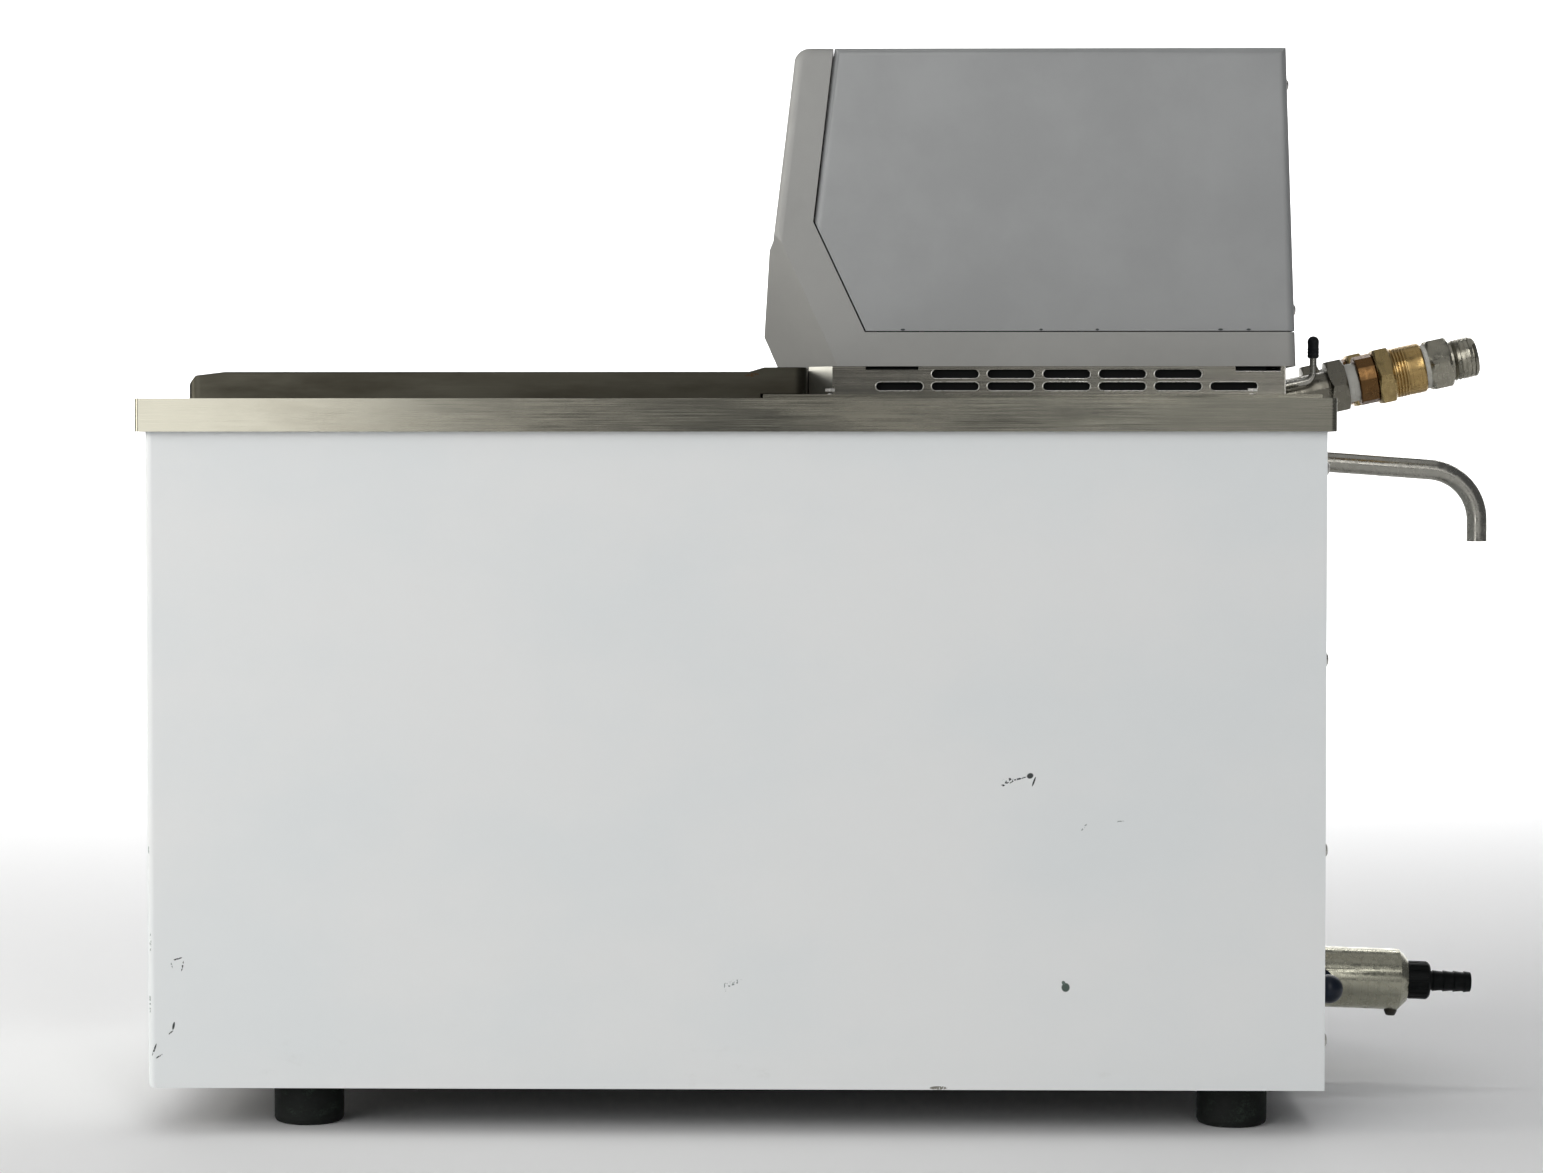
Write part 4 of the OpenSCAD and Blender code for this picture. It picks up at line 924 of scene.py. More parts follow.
def thread_recipe() -> Recipe:
    """A screw thread round Z: a core with a ridge that winds up it."""
    made = Recipe("screw thread")
    radius, depth = made.value("Radius"), made.value("Depth")
    pitch, turns = made.value("Pitch"), made.value("Turns")
    base, height = made.value("Base"), made.value("Height")
    root = made.maths("SUBTRACT", radius, depth)
    climb = made.maths("MULTIPLY", pitch, turns)
    spiral = made.node("GeometryNodeCurveSpiral", {
        "Resolution": 40, "Rotations": turns, "Start Radius": root, "End Radius": root, "Height": climb,
    })
    ridge = made.node("GeometryNodeCurvePrimitiveCircle", {"Resolution": 4, "Radius": depth})
    wound = made.node("GeometryNodeCurveToMesh", {"Curve": spiral, "Profile Curve": ridge, "Fill Caps": True})
    core = made.node("GeometryNodeMeshCylinder", {"Vertices": 48, "Radius": root, "Depth": height})
    stood = made.moved(core, made.maths("MULTIPLY", height, 0.5))
    return made.end(made.group_of([made.moved(wound, base), stood]))


def screw_recipe() -> Recipe:
    """Pan-head screws with a cross recess, one at each point, with their heads up."""
    made = Recipe("pan head screws")
    radius, height = made.value("Head Radius"), made.value("Head Height")
    shank, length = made.value("Shank Radius"), made.value("Shank Length")
    turn = made.value("Turn", "NodeSocketVector")
    lower, upper = made.maths("MULTIPLY", height, 0.55), made.maths("MULTIPLY", height, 0.45)
    shoulder, top = made.maths("MULTIPLY", radius, 0.95), made.maths("MULTIPLY", radius, 0.66)
    rim = made.node("GeometryNodeMeshCone", {
        "Vertices": 28, "Radius Top": shoulder, "Radius Bottom": radius, "Depth": lower,
    })
    crown = made.node("GeometryNodeMeshCone", {
        "Vertices": 28, "Radius Top": top, "Radius Bottom": shoulder, "Depth": upper,
    })
    low = made.moved(made.group_of([rim, made.moved(crown, lower)]), made.maths("MULTIPLY", height, -1))
    whole = made.node("GeometryNodeMergeByDistance", {"Geometry": low, "Distance": 1e-6})
    wide, narrow = made.maths("MULTIPLY", radius, 1.1), made.maths("MULTIPLY", radius, 0.24)
    deep = made.maths("MULTIPLY", height, 1.1)
    bars = [
        made.node("GeometryNodeMeshCube", {"Size": made.vector(a, b, deep)})
        for a, b in ((wide, narrow), (narrow, wide))
    ]
    head = made.node("GeometryNodeMeshBoolean", {0: whole, 1: made.group_of(bars)}, operation="DIFFERENCE")
    stem = made.node("GeometryNodeMeshCylinder", {"Vertices": 16, "Radius": shank, "Depth": length})
    drop = made.maths("MULTIPLY", made.maths("ADD", made.maths("MULTIPLY", height, 1.8), length), -0.5)
    return made.end(made.node("GeometryNodeInstanceOnPoints", {
        "Points": made.source.outputs["Geometry"],
        "Instance": made.group_of([head, made.moved(stem, drop)]),
        "Rotation": turn,
    }))


def ring_recipe() -> Recipe:
    """Bars set round a circle, each pointing outwards, over a part of the turn."""
    made = Recipe("bars round a circle")
    count, radius = made.value("Count", "NodeSocketInt"), made.value("Radius")
    size, sweep = made.value("Size", "NodeSocketVector"), made.value("Sweep")
    arc = made.node("GeometryNodeCurveArc", {"Resolution": count, "Radius": radius, "Sweep Angle": sweep})
    points = made.node("GeometryNodeCurveToPoints", {"Curve": arc}, mode="EVALUATED")
    bar = made.node("GeometryNodeMeshCube", {"Size": size})
    spot = made.node("GeometryNodeInputPosition", {})
    facing = made.node("FunctionNodeAlignRotationToVector", {"Vector": spot}, axis="X", pivot_axis="Z")
    return made.end(made.node("GeometryNodeInstanceOnPoints", {
        "Points": points, "Instance": bar, "Rotation": facing,
    }))


def row_recipe() -> Recipe:
    """Bars in a straight row."""
    made = Recipe("bars in a row")
    count, step = made.value("Count", "NodeSocketInt"), made.value("Step", "NodeSocketVector")
    start, size = made.value("Start", "NodeSocketVector"), made.value("Size", "NodeSocketVector")
    line = made.node("GeometryNodeMeshLine", {"Count": count, "Start Location": start, "Offset": step})
    bar = made.node("GeometryNodeMeshCube", {"Size": size})
    return made.end(made.node("GeometryNodeInstanceOnPoints", {"Points": line, "Instance": bar}))


# ---- Workshop ----


class Workshop:
    """Turns meshes into finished pieces: material, edges, body and the CAD nodes they stand for."""

    def __init__(self) -> None:
        """Sets out the palette and the recipes."""
        self.palette = Palette()
        self.tube = tube_recipe()
        self.thread = thread_recipe()
        self.screw = screw_recipe()
        self.ring = ring_recipe()
        self.row = row_recipe()

    def shaped(self, recipe: Recipe, finish: str, **values: object) -> bpy.types.Mesh:
        """A shape from a recipe that needs no base."""
        return recipe.make(bpy.data.meshes.new("blank"), self.palette.material(finish), **values)

    def piece(
        self,
        name: str,
        mesh: bpy.types.Mesh,
        like: str,
        slot: str = "",
        finish: str = "",
        stands_for: Sequence[str] = (),
        sharp: float = 32.0,
        edge: float = 0.0,
        wall: float = 0.0,
    ) -> None:
        """Makes a finished piece.

        Args:
            name: the piece's own name.
            mesh: its shape, in place.
            like: the CAD node whose body it rides on, and whose slot gives its material unless another slot
                or a finish is given.
            slot: another slot of the record, whose material it takes when no finish is given.
            finish: another finish of the palette, if it isn't the slot's.
            stands_for: the CAD nodes that it replaces.
            sharp: the angle in degrees from which an edge stays sharp.
            edge: the width that its sharp edges are rounded by.
            wall: a thickness that an open shape is given, inwards.
        """
        slot = slot or SLOT_OF[like]
        mesh.name = name
        mesh.materials.clear()
        mesh.materials.append(self.palette.material(finish or slot))
        mesh.shade_smooth()
        mesh.set_sharp_from_angle(angle=math.radians(sharp))
        made = bpy.data.objects.new(name, mesh)
        bpy.context.scene.collection.objects.link(made)
        if wall > 0:
            thick = made.modifiers.new("wall", "SOLIDIFY")
            thick.thickness, thick.offset, thick.use_even_offset = wall, -1, True
        if edge > 0:
            soft = made.modifiers.new("edge", "BEVEL")
            soft.width, soft.segments, soft.limit_method = edge, 2, "ANGLE"
            soft.angle_limit, soft.harden_normals = math.radians(sharp), True
        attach(made, BODY_OF[like])
        if stands_for:
            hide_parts(*stands_for)
        log.info("%s: %d faces on %s", name, len(mesh.polygons), BODY_OF[like])

    def instead(self, node: str, way: str, mesh: bpy.types.Mesh, **looks: str | float) -> None:
        """Finishes a shape that stands for a CAD node, and names it by the node and the way it is made."""
        self.piece(f"{node}.{way}", mesh, node, stands_for=[node], **looks)

    def formed(
        self,
        node: str,
        edge: float,
        shape: Callable[[bmesh.types.BMesh], None] | None = None,
        sharp: float = 32.0,
        finish: str = "",
    ) -> None:
        """A CAD node's shape with rounded edges, in place of the node.

        Args:
            node: the CAD node.
            edge: the width that its edges are rounded by.
            shape: what else is done to the shape first.
            sharp: the angle in degrees from which an edge counts.
            finish: another finish of the palette.
        """
        made = cad_copy(node)
        if shape:
            shape(made)
        mesh = bpy.data.meshes.new(node)
        made.to_mesh(mesh)
        made.free()
        self.instead(node, "formed", mesh, edge=edge, sharp=sharp, finish=finish)

    def dressed(self, node: str) -> None:
        """Gives a CAD node that stays its material."""
        mesh = frame["nodes"][node].data
        mesh.materials.clear()
        mesh.materials.append(self.palette.material(SLOT_OF[node]))
        log.info("%s: CAD shape kept", node)

    def screws(
        self, node: str, side: Vector, head: tuple[float, float], shank: tuple[float, float]
    ) -> None:
        """Puts detailed screws where a CAD node has its plain ones.

        Args:
            node: the CAD node of the screws.
            side: the way that the heads point.
            head: radius and height of a head.
            shank: radius and length of a shank.
        """
        tops = []
        for group in islands(node):
            highest = max(p.dot(side) for p in group)
            crown = [p for p in group if p.dot(side) > highest - 0.1 * MM]
            tops.append(sum(crown, Vector()) / len(crown))
        points = bpy.data.meshes.new("points")
        points.from_pydata([tuple(p) for p in tops], [], [])
        mesh = self.screw.make(
            points, self.palette.material(SLOT_OF[node]), Head_Radius=head[0], Head_Height=head[1],
            Shank_Radius=shank[0], Shank_Length=shank[1],
            Turn=tuple(side.to_track_quat("Z", "Y").to_euler()),
        )
        self.instead(node, "turned", mesh, edge=0.12 * MM, sharp=38)

    def pipe(
        self,
        node: str,
        path: bpy.types.Mesh,
        radius: float,
        wall: float = 0.0,
        sides: int = 40,
        finish: str = "",
    ) -> None:
        """A bent tube or rod along a path, in place of a CAD node.

        Args:
            node: the CAD node.
            path: the path's mesh of edges.
            radius: its outer radius.
            wall: its wall, or 0 for a solid rod.
            sides: how many flats it has round.
            finish: another finish of the palette.
        """
        material = self.palette.material(finish or SLOT_OF[node])
        mesh = self.tube.make(path, material, Radius=radius, Sides=sides, Caps=wall <= 0)
        self.instead(node, "bent", mesh, finish=finish, wall=wall, edge=0.2 * MM, sharp=45)


# ---- Sub-assemblies ----


@dataclass
class Casing:
    """The painted casing on its rubber feet, with its rear panel and what is fixed to it."""

    shop: Workshop
    corner: float = 3.2 * MM
    fold: float = 0.4 * MM

    def build(self) -> None:
        """Builds and dresses every piece."""
        self.shop.formed("casing_shell", self.fold, self.round_corners)
        self.shop.formed("rear_panel", self.fold)
        self.shop.formed("base_pan", 0.3 * MM)
        self.shop.screws("rear_panel_screws", Side.REAR.vector, (3.0 * MM, 1.2 * MM), (1.5 * MM, 8 * MM))
        self.shop.screws("foot_screws", Side.DOWN.vector, (5.0 * MM, 3.0 * MM), (2.5 * MM, 20 * MM))
        self.shop.formed("rubber_feet", 0.5 * MM)
        self.shop.dressed("insulation_jacket")

    def round_corners(self, made: bmesh.types.BMesh) -> None:
        """Rounds the two upright front corners, as a folded sheet has them."""
        low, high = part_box("casing_shell")
        picked = [
            e for e in made.edges
            if all(abs(abs(v.co.x) - high.x) < 1e-5 and abs(v.co.y - low.y) < 1e-5 for v in e.verts)
        ]
        bmesh.ops.bevel(made, geom=picked, offset=self.corner, segments=6, profile=0.5, affect="EDGES")


@dataclass
class Deck:
    """The tank, the steel deck over it and the bridge plate that carries the head."""

    shop: Workshop

    def build(self) -> None:
        """Builds and dresses every piece."""
        self.shop.formed("bath_tank", 0.3 * MM)
        self.shop.formed("deck_rim", 0.6 * MM)
        self.shop.formed("bridge_plate", 0.3 * MM)
        self.shop.screws("bridge_plate_screws", Side.UP.vector, (3.9 * MM, 2.5 * MM), (1.5 * MM, 6 * MM))


@dataclass
class Lid:
    """The dark sliding lid."""

    shop: Workshop

    def build(self) -> None:
        """Builds and dresses the lid."""
        self.shop.formed("bath_lid", 0.55 * MM)


@dataclass
class Skirt:
    """The slotted skirt under the control head, with near-black sheets behind its slots as painted shade."""

    shop: Workshop
    shade_sheet_gap: float = 5 * MM
    shade_sheet_wall: float = 1.5 * MM
    shade_sheet_end: float = 8 * MM
    shade_sheet_edge: float = 0.2 * MM
    bead: float = 0.28 * MM
    rim_margin: float = 1.7 * MM

    def build(self) -> None:
        """Builds and dresses the skirt and its screws."""
        self.shop.formed("vent_skirt", 0.14 * MM)
        self.shop.screws("vent_skirt_screws", Side.REAR.vector, (2.3 * MM, 1.4 * MM), (1.5 * MM, 5 * MM))
        self.shade_sheets()
        self.slot_beads()

    def slot_beads(self) -> None:
        """The turned-out rim of each slot in the two sides, in a lighter steel than the skirt's: real rims
        with a painted highlight.
        """
        low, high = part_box("vent_skirt")
        made = cad_copy("vent_skirt")
        made.normal_update()
        on_side = [
            e for e in made.edges
            if all(abs(abs(v.co.x) - high.x) < 1e-5 for v in e.verts)
            and low.z + self.rim_margin < (e.verts[0].co.z + e.verts[1].co.z) / 2 < high.z - self.rim_margin
            and any(abs(f.normal.x) < 0.1 for f in e.link_faces)
        ]
        points = list(dict.fromkeys(v for e in on_side for v in e.verts))
        number = {v: i for i, v in enumerate(points)}
        mesh = bpy.data.meshes.new("rims")
        mesh.from_pydata(
            [tuple(v.co) for v in points], [tuple(number[v] for v in e.verts) for e in on_side], []
        )
        made.free()
        # The screw steel, much lighter than the skirt's own, paints a highlight on the slot edges.
        rims = self.shop.tube.make(
            mesh, self.shop.palette.material("screw_steel"), Radius=self.bead, Sides=8, Caps=True
        )
        self.shop.piece("vent_slot_rims", rims, "vent_skirt", finish="screw_steel", sharp=60)

    def shade_sheets(self) -> None:
        """A strip of near-black sheet behind each side's slots: painted shade seen through them."""
        low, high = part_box("vent_skirt")
        front, rear = low.y + self.shade_sheet_end, high.y - self.shade_sheet_end
        strips = []
        for side in (-1, 1):
            near = side * (high.x - self.shade_sheet_gap)
            far = near - side * self.shade_sheet_wall
            outline = [(near, front), (far, front), (far, rear), (near, rear)]
            strips.append(prism(outline, low.z + self.shade_sheet_edge, high.z - self.shade_sheet_edge))
        # Near-black sheets that stand for the shade inside the skirt, seen through its slots.
        self.shop.piece(
            "vent_slot_shade", joined(strips), "vent_skirt", slot="black_rubber", finish="nozzle_plastic",
            edge=0.3 * MM,
        )


@dataclass
class ControlHead:
    """The two shells of the control head, its panel and what is set in it."""

    shop: Workshop
    corner: float = 4.2 * MM
    fold: float = 0.14 * MM
    round_reach: float = 12 * MM
    chin_height: float = 54 * MM
    front_reach: float = 14 * MM
    sign: float = 2.6 * MM
    sign_bar: float = 0.6 * MM
    sign_step: float = 1.6 * MM
    sign_span: tuple[float, float] = (-0.2 * MM, 0.18 * MM)
    ticks: int = 11
    tick: Triple = (1.8 * MM, 0.4 * MM, 0.16 * MM)
    scale_r: float = 10.6 * MM
    scale_start: float = math.radians(-60)
    scale_sweep: float = math.radians(300)
    digit: tuple[float, float] = (9.0 * MM, 17.0 * MM)
    digit_step: float = 19 * MM
    digit_span: tuple[float, float] = (-3.4 * MM, -3.0 * MM)
    segment: float = 1.5 * MM
    segment_gap: float = 0.35 * MM

    def build(self) -> None:
        """Builds and dresses every piece."""
        self.shop.formed("head_front_shell", self.fold, self.round_side, sharp=18)
        self.shop.formed("head_rear_hood", self.fold, self.round_side, sharp=38)
        self.shop.screws("hood_screws", self.rear_side(), (2.8 * MM, 1.6 * MM), (1.5 * MM, 7 * MM))
        self.shop.formed("control_bezel", 0.4 * MM)
        self.shop.dressed("display_window")
        self.shop.dressed("display_board")
        for key in ("menu", "down", "up", "enter", "start"):
            self.shop.formed(f"{key}_key", 0.5 * MM)
            self.icon(key)
        self.shop.formed("indicator_lamps", 0.5 * MM)
        self.shop.formed("switch_frame", 0.4 * MM)
        self.shop.formed("mains_rocker", 0.4 * MM)
        self.shop.formed("overtemp_knob", 0.4 * MM)
        self.shop.formed("mains_inlet", 0.3 * MM)
        self.scale()
        self.digits()

    def round_side(self, made: bmesh.types.BMesh) -> None:
        """Rounds the edges between the two sides and the top, front and rear faces."""
        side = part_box("head_rear_hood")[1].x
        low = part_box("head_front_shell")[0].z
        made.normal_update()
        picked = []
        for e in made.edges:
            if len(e.link_faces) != 2 or any(abs(abs(v.co.x) - side) > 1e-5 for v in e.verts):
                continue
            across = [f for f in e.link_faces if abs(f.normal.x) < 0.5]
            flat = [f for f in e.link_faces if abs(f.normal.x) > 0.99]
            if len(across) != 1 or len(flat) != 1 or not self.outer(e, across[0], low):
                continue
            picked.append(e)
        bmesh.ops.bevel(
            made, geom=picked, offset=self.corner, segments=6, profile=0.5, affect="EDGES",
            clamp_overlap=False,
        )

    def outer(self, e: bmesh.types.BMEdge, face: bmesh.types.BMFace, low: float) -> bool:
        """Whether an edge is on the head's outer outline, and not on its seam or its underside."""
        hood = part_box("head_rear_hood")[1]
        centre = (e.verts[0].co + e.verts[1].co) / 2
        if face.normal.z > 0.9:
            return centre.z > hood.z - self.round_reach
        if face.normal.y > 0.9:
            return centre.y > hood.y - self.round_reach
        return face.normal.y < -0.5 and centre.z > low + self.chin_height and centre.y < self.front_reach

    def rear_side(self) -> Vector:
        """The way that the head's rear wall faces."""
        return Vector(MOUNTS["mains_inlet_socket"]["axis"]).normalized()

    def panel(self, node: str) -> Matrix:
        """The panel's own frame at a node's outer face: X across, Y up, Z out of the panel."""
        out = -Vector(JOINTS["menu_key_press"]["axis"]).normalized()
        across = Vector((1, 0, 0))
        up = out.cross(across)
        group = [v.co for v in frame["nodes"][node].data.vertices]
        highest = max(p.dot(out) for p in group)
        crown = [p for p in group if p.dot(out) > highest - 0.02 * MM]
        low = Vector(min(p[i] for p in crown) for i in range(3))
        high = Vector(max(p[i] for p in crown) for i in range(3))
        turn = Matrix((across, up, out)).transposed().to_4x4()
        return Matrix.Translation((low + high) / 2) @ turn

    def icon(self, key: str) -> None:
        """A raised sign on a key: an arrow, three bars, a square or a ring."""
        size, (low, high) = self.sign, self.sign_span
        tip, foot = size * 0.9, size * 0.6
        outlines = {
            "up": [[(-size, -foot), (size, -foot), (0, tip)]],
            "down": [[(-size, foot), (0, -tip), (size, foot)]],
            "menu": [rectangle(size, self.sign_bar / 2, i * self.sign_step) for i in (-1, 0, 1)],
            "enter": [rectangle(size, size)],
        }
        if key in outlines:
            sign = joined(prism(outline, low, high) for outline in outlines[key])
        else:
            inside = size - self.sign_bar
            sign = lathe([(inside, low), (inside, high), (size, high), (size, low), (inside, low)], 32)
        sign = moved(sign, self.panel(f"{key}_key"))
        self.shop.piece(f"{key}_sign", sign, f"{key}_key", slot="bezel_plastic", edge=0.05 * MM)

    def scale(self) -> None:
        """Tick marks round the over-temperature knob."""
        place = self.panel("control_bezel")
        centre = self.panel("overtemp_knob").translation
        out = place.col[2].to_3d()
        level = place.translation.dot(out) - centre.dot(out)
        mesh = self.shop.shaped(
            self.shop.ring, "key_plastic", Count=self.ticks, Radius=self.scale_r, Size=self.tick,
            Sweep=self.scale_sweep,
        )
        start = Matrix.Rotation(self.scale_start, 4, "Z")
        lift = Matrix.Translation(out * level)
        mesh.transform(lift @ Matrix.Translation(centre) @ place.to_3x3().to_4x4() @ start)
        self.shop.piece("overtemp_scale", mesh, "control_bezel", slot="key_plastic")

    def digits(self) -> None:
        """Three seven-segment digits on the display board, behind the window."""
        wide, tall = self.digit
        low, high = self.digit_span
        half = self.segment / 2
        segments = (
            (0, tall / 2, True), (0, 0, True), (0, -tall / 2, True), (-wide / 2, tall / 4, False),
            (wide / 2, tall / 4, False), (-wide / 2, -tall / 4, False), (wide / 2, -tall / 4, False),
        )
        meshes = []
        for x in (-self.digit_step, 0, self.digit_step):
            for cx, cy, flat in segments:
                long = (wide if flat else tall / 2) / 2 - self.segment_gap
                points = [
                    (-long, 0), (half - long, -half), (long - half, -half),
                    (long, 0), (long - half, half), (half - long, half),
                ]
                if not flat:
                    points = [(-b, a) for a, b in points]
                meshes.append(prism([(x + cx + a, cy + b) for a, b in points], low, high))
        mesh = moved(joined(meshes), self.panel("display_window"))
        self.shop.piece("display_digits", mesh, "display_board", slot="lamp_plastic")


@dataclass
class Fittings:
    """The two pump tubes with the nuts, tape, brass couplings and threaded nipples on their ends."""

    shop: Workshop
    tube_wall: float = 1.5 * MM
    elbow: float = 20 * MM
    bend: float = 24 * MM
    nut_from_mount: float = -65.8 * MM
    tube_in_tape: float = 12 * MM
    tape_start: float = 8.4 * MM
    collar_start: float = 13.8 * MM
    hexagon_start: float = 23.0 * MM
    barrel_start: float = 31.0 * MM
    barrel_end: float = 46.3 * MM
    nipple_start: float = 48.6 * MM
    thread_start: float = 59.2 * MM
    nipple_end: float = 72.4 * MM
    barrel_r: float = 12.0 * MM
    hexagon_across: float = 26.0 * MM
    nipple_across: float = 23.5 * MM
    tape_r: float = 9.2 * MM
    ring_r: float = 10.6 * MM
    bore: float = 6.4 * MM
    thread_depth: float = 0.9 * MM
    thread_pitch: float = 1.9 * MM
    thread_turns: float = 5.6
    grooves: tuple[float, ...] = (1.2 * MM, 2.7 * MM, 4.2 * MM, 5.7 * MM)

    def build(self) -> None:
        """Builds and dresses every piece."""
        self.tubes()
        self.shop.formed("tube_nuts", 0.25 * MM, finish="nut_steel")
        axes = [mount_axis(name).shifted(self.nut_from_mount) for name in ("outlet_thread", "return_thread")]
        self.tape(axes)
        self.brass(axes)
        self.nipples(axes)

    def tubes(self) -> None:
        """The outlet tube from the pump, and the shorter return tube."""
        for node, name in (("pump_outlet_tube", "outlet_thread"), ("pump_return_tube", "return_thread")):
            axis = mount_axis(name).shifted(self.nut_from_mount)
            low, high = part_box(node)
            radius = (high.x - low.x) / 2
            x = (low.x + high.x) / 2
            outlet = node == "pump_outlet_tube"
            leg_y = low.y + (1 * MM + self.elbow if outlet else radius)
            fall = (axis.start.y - leg_y) / axis.along.y * axis.along.z
            corner = Vector((x, leg_y, axis.start.z - fall))
            points, bends = [corner, axis.at(self.tube_in_tape)], [self.bend]
            if outlet:
                bottom = low.z + radius
                points = [Vector((x, low.y, bottom)), Vector((x, leg_y, bottom))] + points
                bends = [self.elbow] + bends
            else:
                points = [Vector((x, leg_y, low.z))] + points
            self.shop.pipe(node, route(points, bends), radius, self.tube_wall, finish="nut_steel")

    def tape(self, axes: Sequence[Axis]) -> None:
        """Wound sealing tape, uneven, between each nut and its coupling, and a ring of it further out."""
        spans = (
            (self.tape_start, self.collar_start - self.tape_start, self.tape_r),
            (self.barrel_end - 0.3 * MM, self.nipple_start - self.barrel_end + 0.6 * MM, self.ring_r),
        )
        meshes = [
            moved(self.winding(length, radius), axis.shifted(begin).matrix)
            for axis in axes for begin, length, radius in spans
        ]
        self.shop.instead("thread_tape", "wound", joined(meshes), sharp=50)

    def winding(self, length: float, radius: float) -> bpy.types.Mesh:
        """A wavy band of wound tape, on Z = 0."""
        rows = 9
        inside = radius - 1.2 * MM
        section = [(inside, 0.0)]
        section += [(radius + 0.14 * MM * math.sin(2.7 * i), length * i / (rows - 1)) for i in range(rows)]
        section += [(inside, length), (inside, 0.0)]
        mesh = lathe(section, 48)
        for v in mesh.vertices:
            turn = math.atan2(v.co.y, v.co.x)
            if v.co.z > 0.3 * length:
                v.co.z += 0.18 * MM * math.sin(3 * turn + 9 * v.co.z / length)
            ripple = 1 + 0.008 * math.sin(7 * turn) + 0.006 * math.sin(11 * turn + 400 * v.co.z)
            v.co.x, v.co.y = v.co.x * ripple, v.co.y * ripple
        return mesh

    def brass(self, axes: Sequence[Axis]) -> None:
        """The brass couplings: a rough faceted collar, a hexagon and a barrel with fine grooves."""
        edge = 0.6 * MM
        collar_r = self.barrel_r - 0.2 * MM
        collar_len = self.hexagon_start - self.collar_start
        collar = [
            (0, 0), (collar_r - edge, 0), (collar_r, edge), (collar_r, collar_len - edge),
            (collar_r - edge, collar_len), (0, collar_len),
        ]
        groove = 0.4 * MM
        flat = self.barrel_r - 0.1 * MM
        barrel_len = self.barrel_end - self.barrel_start
        barrel = [(0, 0), (self.barrel_r - edge, 0)]
        for start in self.grooves:
            barrel += [
                (self.barrel_r - groove, start - 0.4 * MM), (self.barrel_r, start),
                (self.barrel_r, start + 0.7 * MM), (self.barrel_r - groove, start + 1.0 * MM),
            ]
        barrel += [(flat, 7.6 * MM), (flat, barrel_len - 0.8 * MM)]
        barrel += [(flat - edge, barrel_len), (0, barrel_len)]
        meshes = []
        for axis in axes:
            meshes.append(moved(lathe(collar, 12), axis.shifted(self.collar_start).matrix))
            bar = hexagon(self.hexagon_across, self.barrel_start - self.hexagon_start, 1.2 * MM)
            meshes.append(moved(bar, axis.shifted(self.hexagon_start).matrix))
            meshes.append(moved(lathe(barrel, 56), axis.shifted(self.barrel_start).matrix))
        self.shop.instead("brass_couplings", "turned", joined(meshes), edge=0.2 * MM, sharp=24)

    def nipples(self, axes: Sequence[Axis]) -> None:
        """The nipples: a hexagon and a real helical thread on a bored core."""
        radius = MOUNTS["outlet_thread"]["dims"]["r_mm"] * MM
        depth = self.thread_depth
        root = radius - depth
        length = self.nipple_end - self.thread_start
        core = [
            (self.bore, 0), (root, 0), (root, length - depth), (root - depth, length),
            (self.bore + 0.4 * MM, length), (self.bore, length - 0.5 * MM), (self.bore, 0),
        ]
        meshes = []
        for axis in axes:
            bar = hexagon(self.nipple_across, self.thread_start - self.nipple_start, 1.6 * MM)
            meshes.append(moved(bar, axis.shifted(self.nipple_start).matrix))
            thread = self.shop.shaped(
                self.shop.thread, "fitting_steel", Radius=radius, Depth=depth, Pitch=self.thread_pitch,
                Turns=self.thread_turns, Base=1.4 * MM, Height=0.4 * MM,
            )
            meshes.append(moved(thread, axis.shifted(self.thread_start).matrix))
            meshes.append(moved(lathe(core, 48), axis.shifted(self.thread_start).matrix))
        self.shop.instead("threaded_nipples", "cut", joined(meshes), sharp=30)


@dataclass
class BypassLever:
    """The bent lever with its rubber cap, and the bush that it turns in."""

    shop: Workshop
    bend: float = 5 * MM
    foot: float = 6 * MM
    rib_start: float = 0.9 * MM
    rib_step: float = 1.5 * MM
    rib_len: float = 0.8 * MM

    def build(self) -> None:
        """Builds and dresses every piece."""
        low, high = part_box("bypass_lever")
        radius = (high.x - low.x) / 2
        pivot = Vector(JOINTS["bypass_swing"]["pos_m"])
        along = Vector(JOINTS["bypass_swing"]["axis"]).normalized()
        leg_y = high.y - radius
        corner = pivot + along * ((leg_y - pivot.y) / along.y)
        points = [pivot - along * self.foot, corner, Vector((pivot.x, leg_y, high.z))]
        self.shop.pipe("bypass_lever", route(points, [self.bend]), radius, sides=24)
        self.cap()
        self.shop.dressed("lever_bush")

    def cap(self) -> None:
        """The cap: a ribbed sleeve with a round end."""
        low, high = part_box("lever_cap")
        radius, height = (high.x - low.x) / 2, high.z - low.z
        waist = radius * 0.94
        section = [(0, 0), (radius * 0.78, 0), (radius * 0.92, 0.3 * MM)]
        for i in range(3):
            z = self.rib_start + i * self.rib_step
            end = z + self.rib_len
            section += [(radius, z), (radius, end), (waist, end + 0.2 * MM), (waist, end + 0.5 * MM)]
        for a in (math.radians(15 * i) for i in range(6)):
            section.append((radius * math.cos(a), height - radius + radius * math.sin(a)))
        section.append((0, height))
        centre = middle("lever_cap")
        mesh = moved(lathe(section, 32), Matrix.Translation((centre.x, centre.y, low.z)))
        self.shop.instead("lever_cap", "ribbed", mesh)


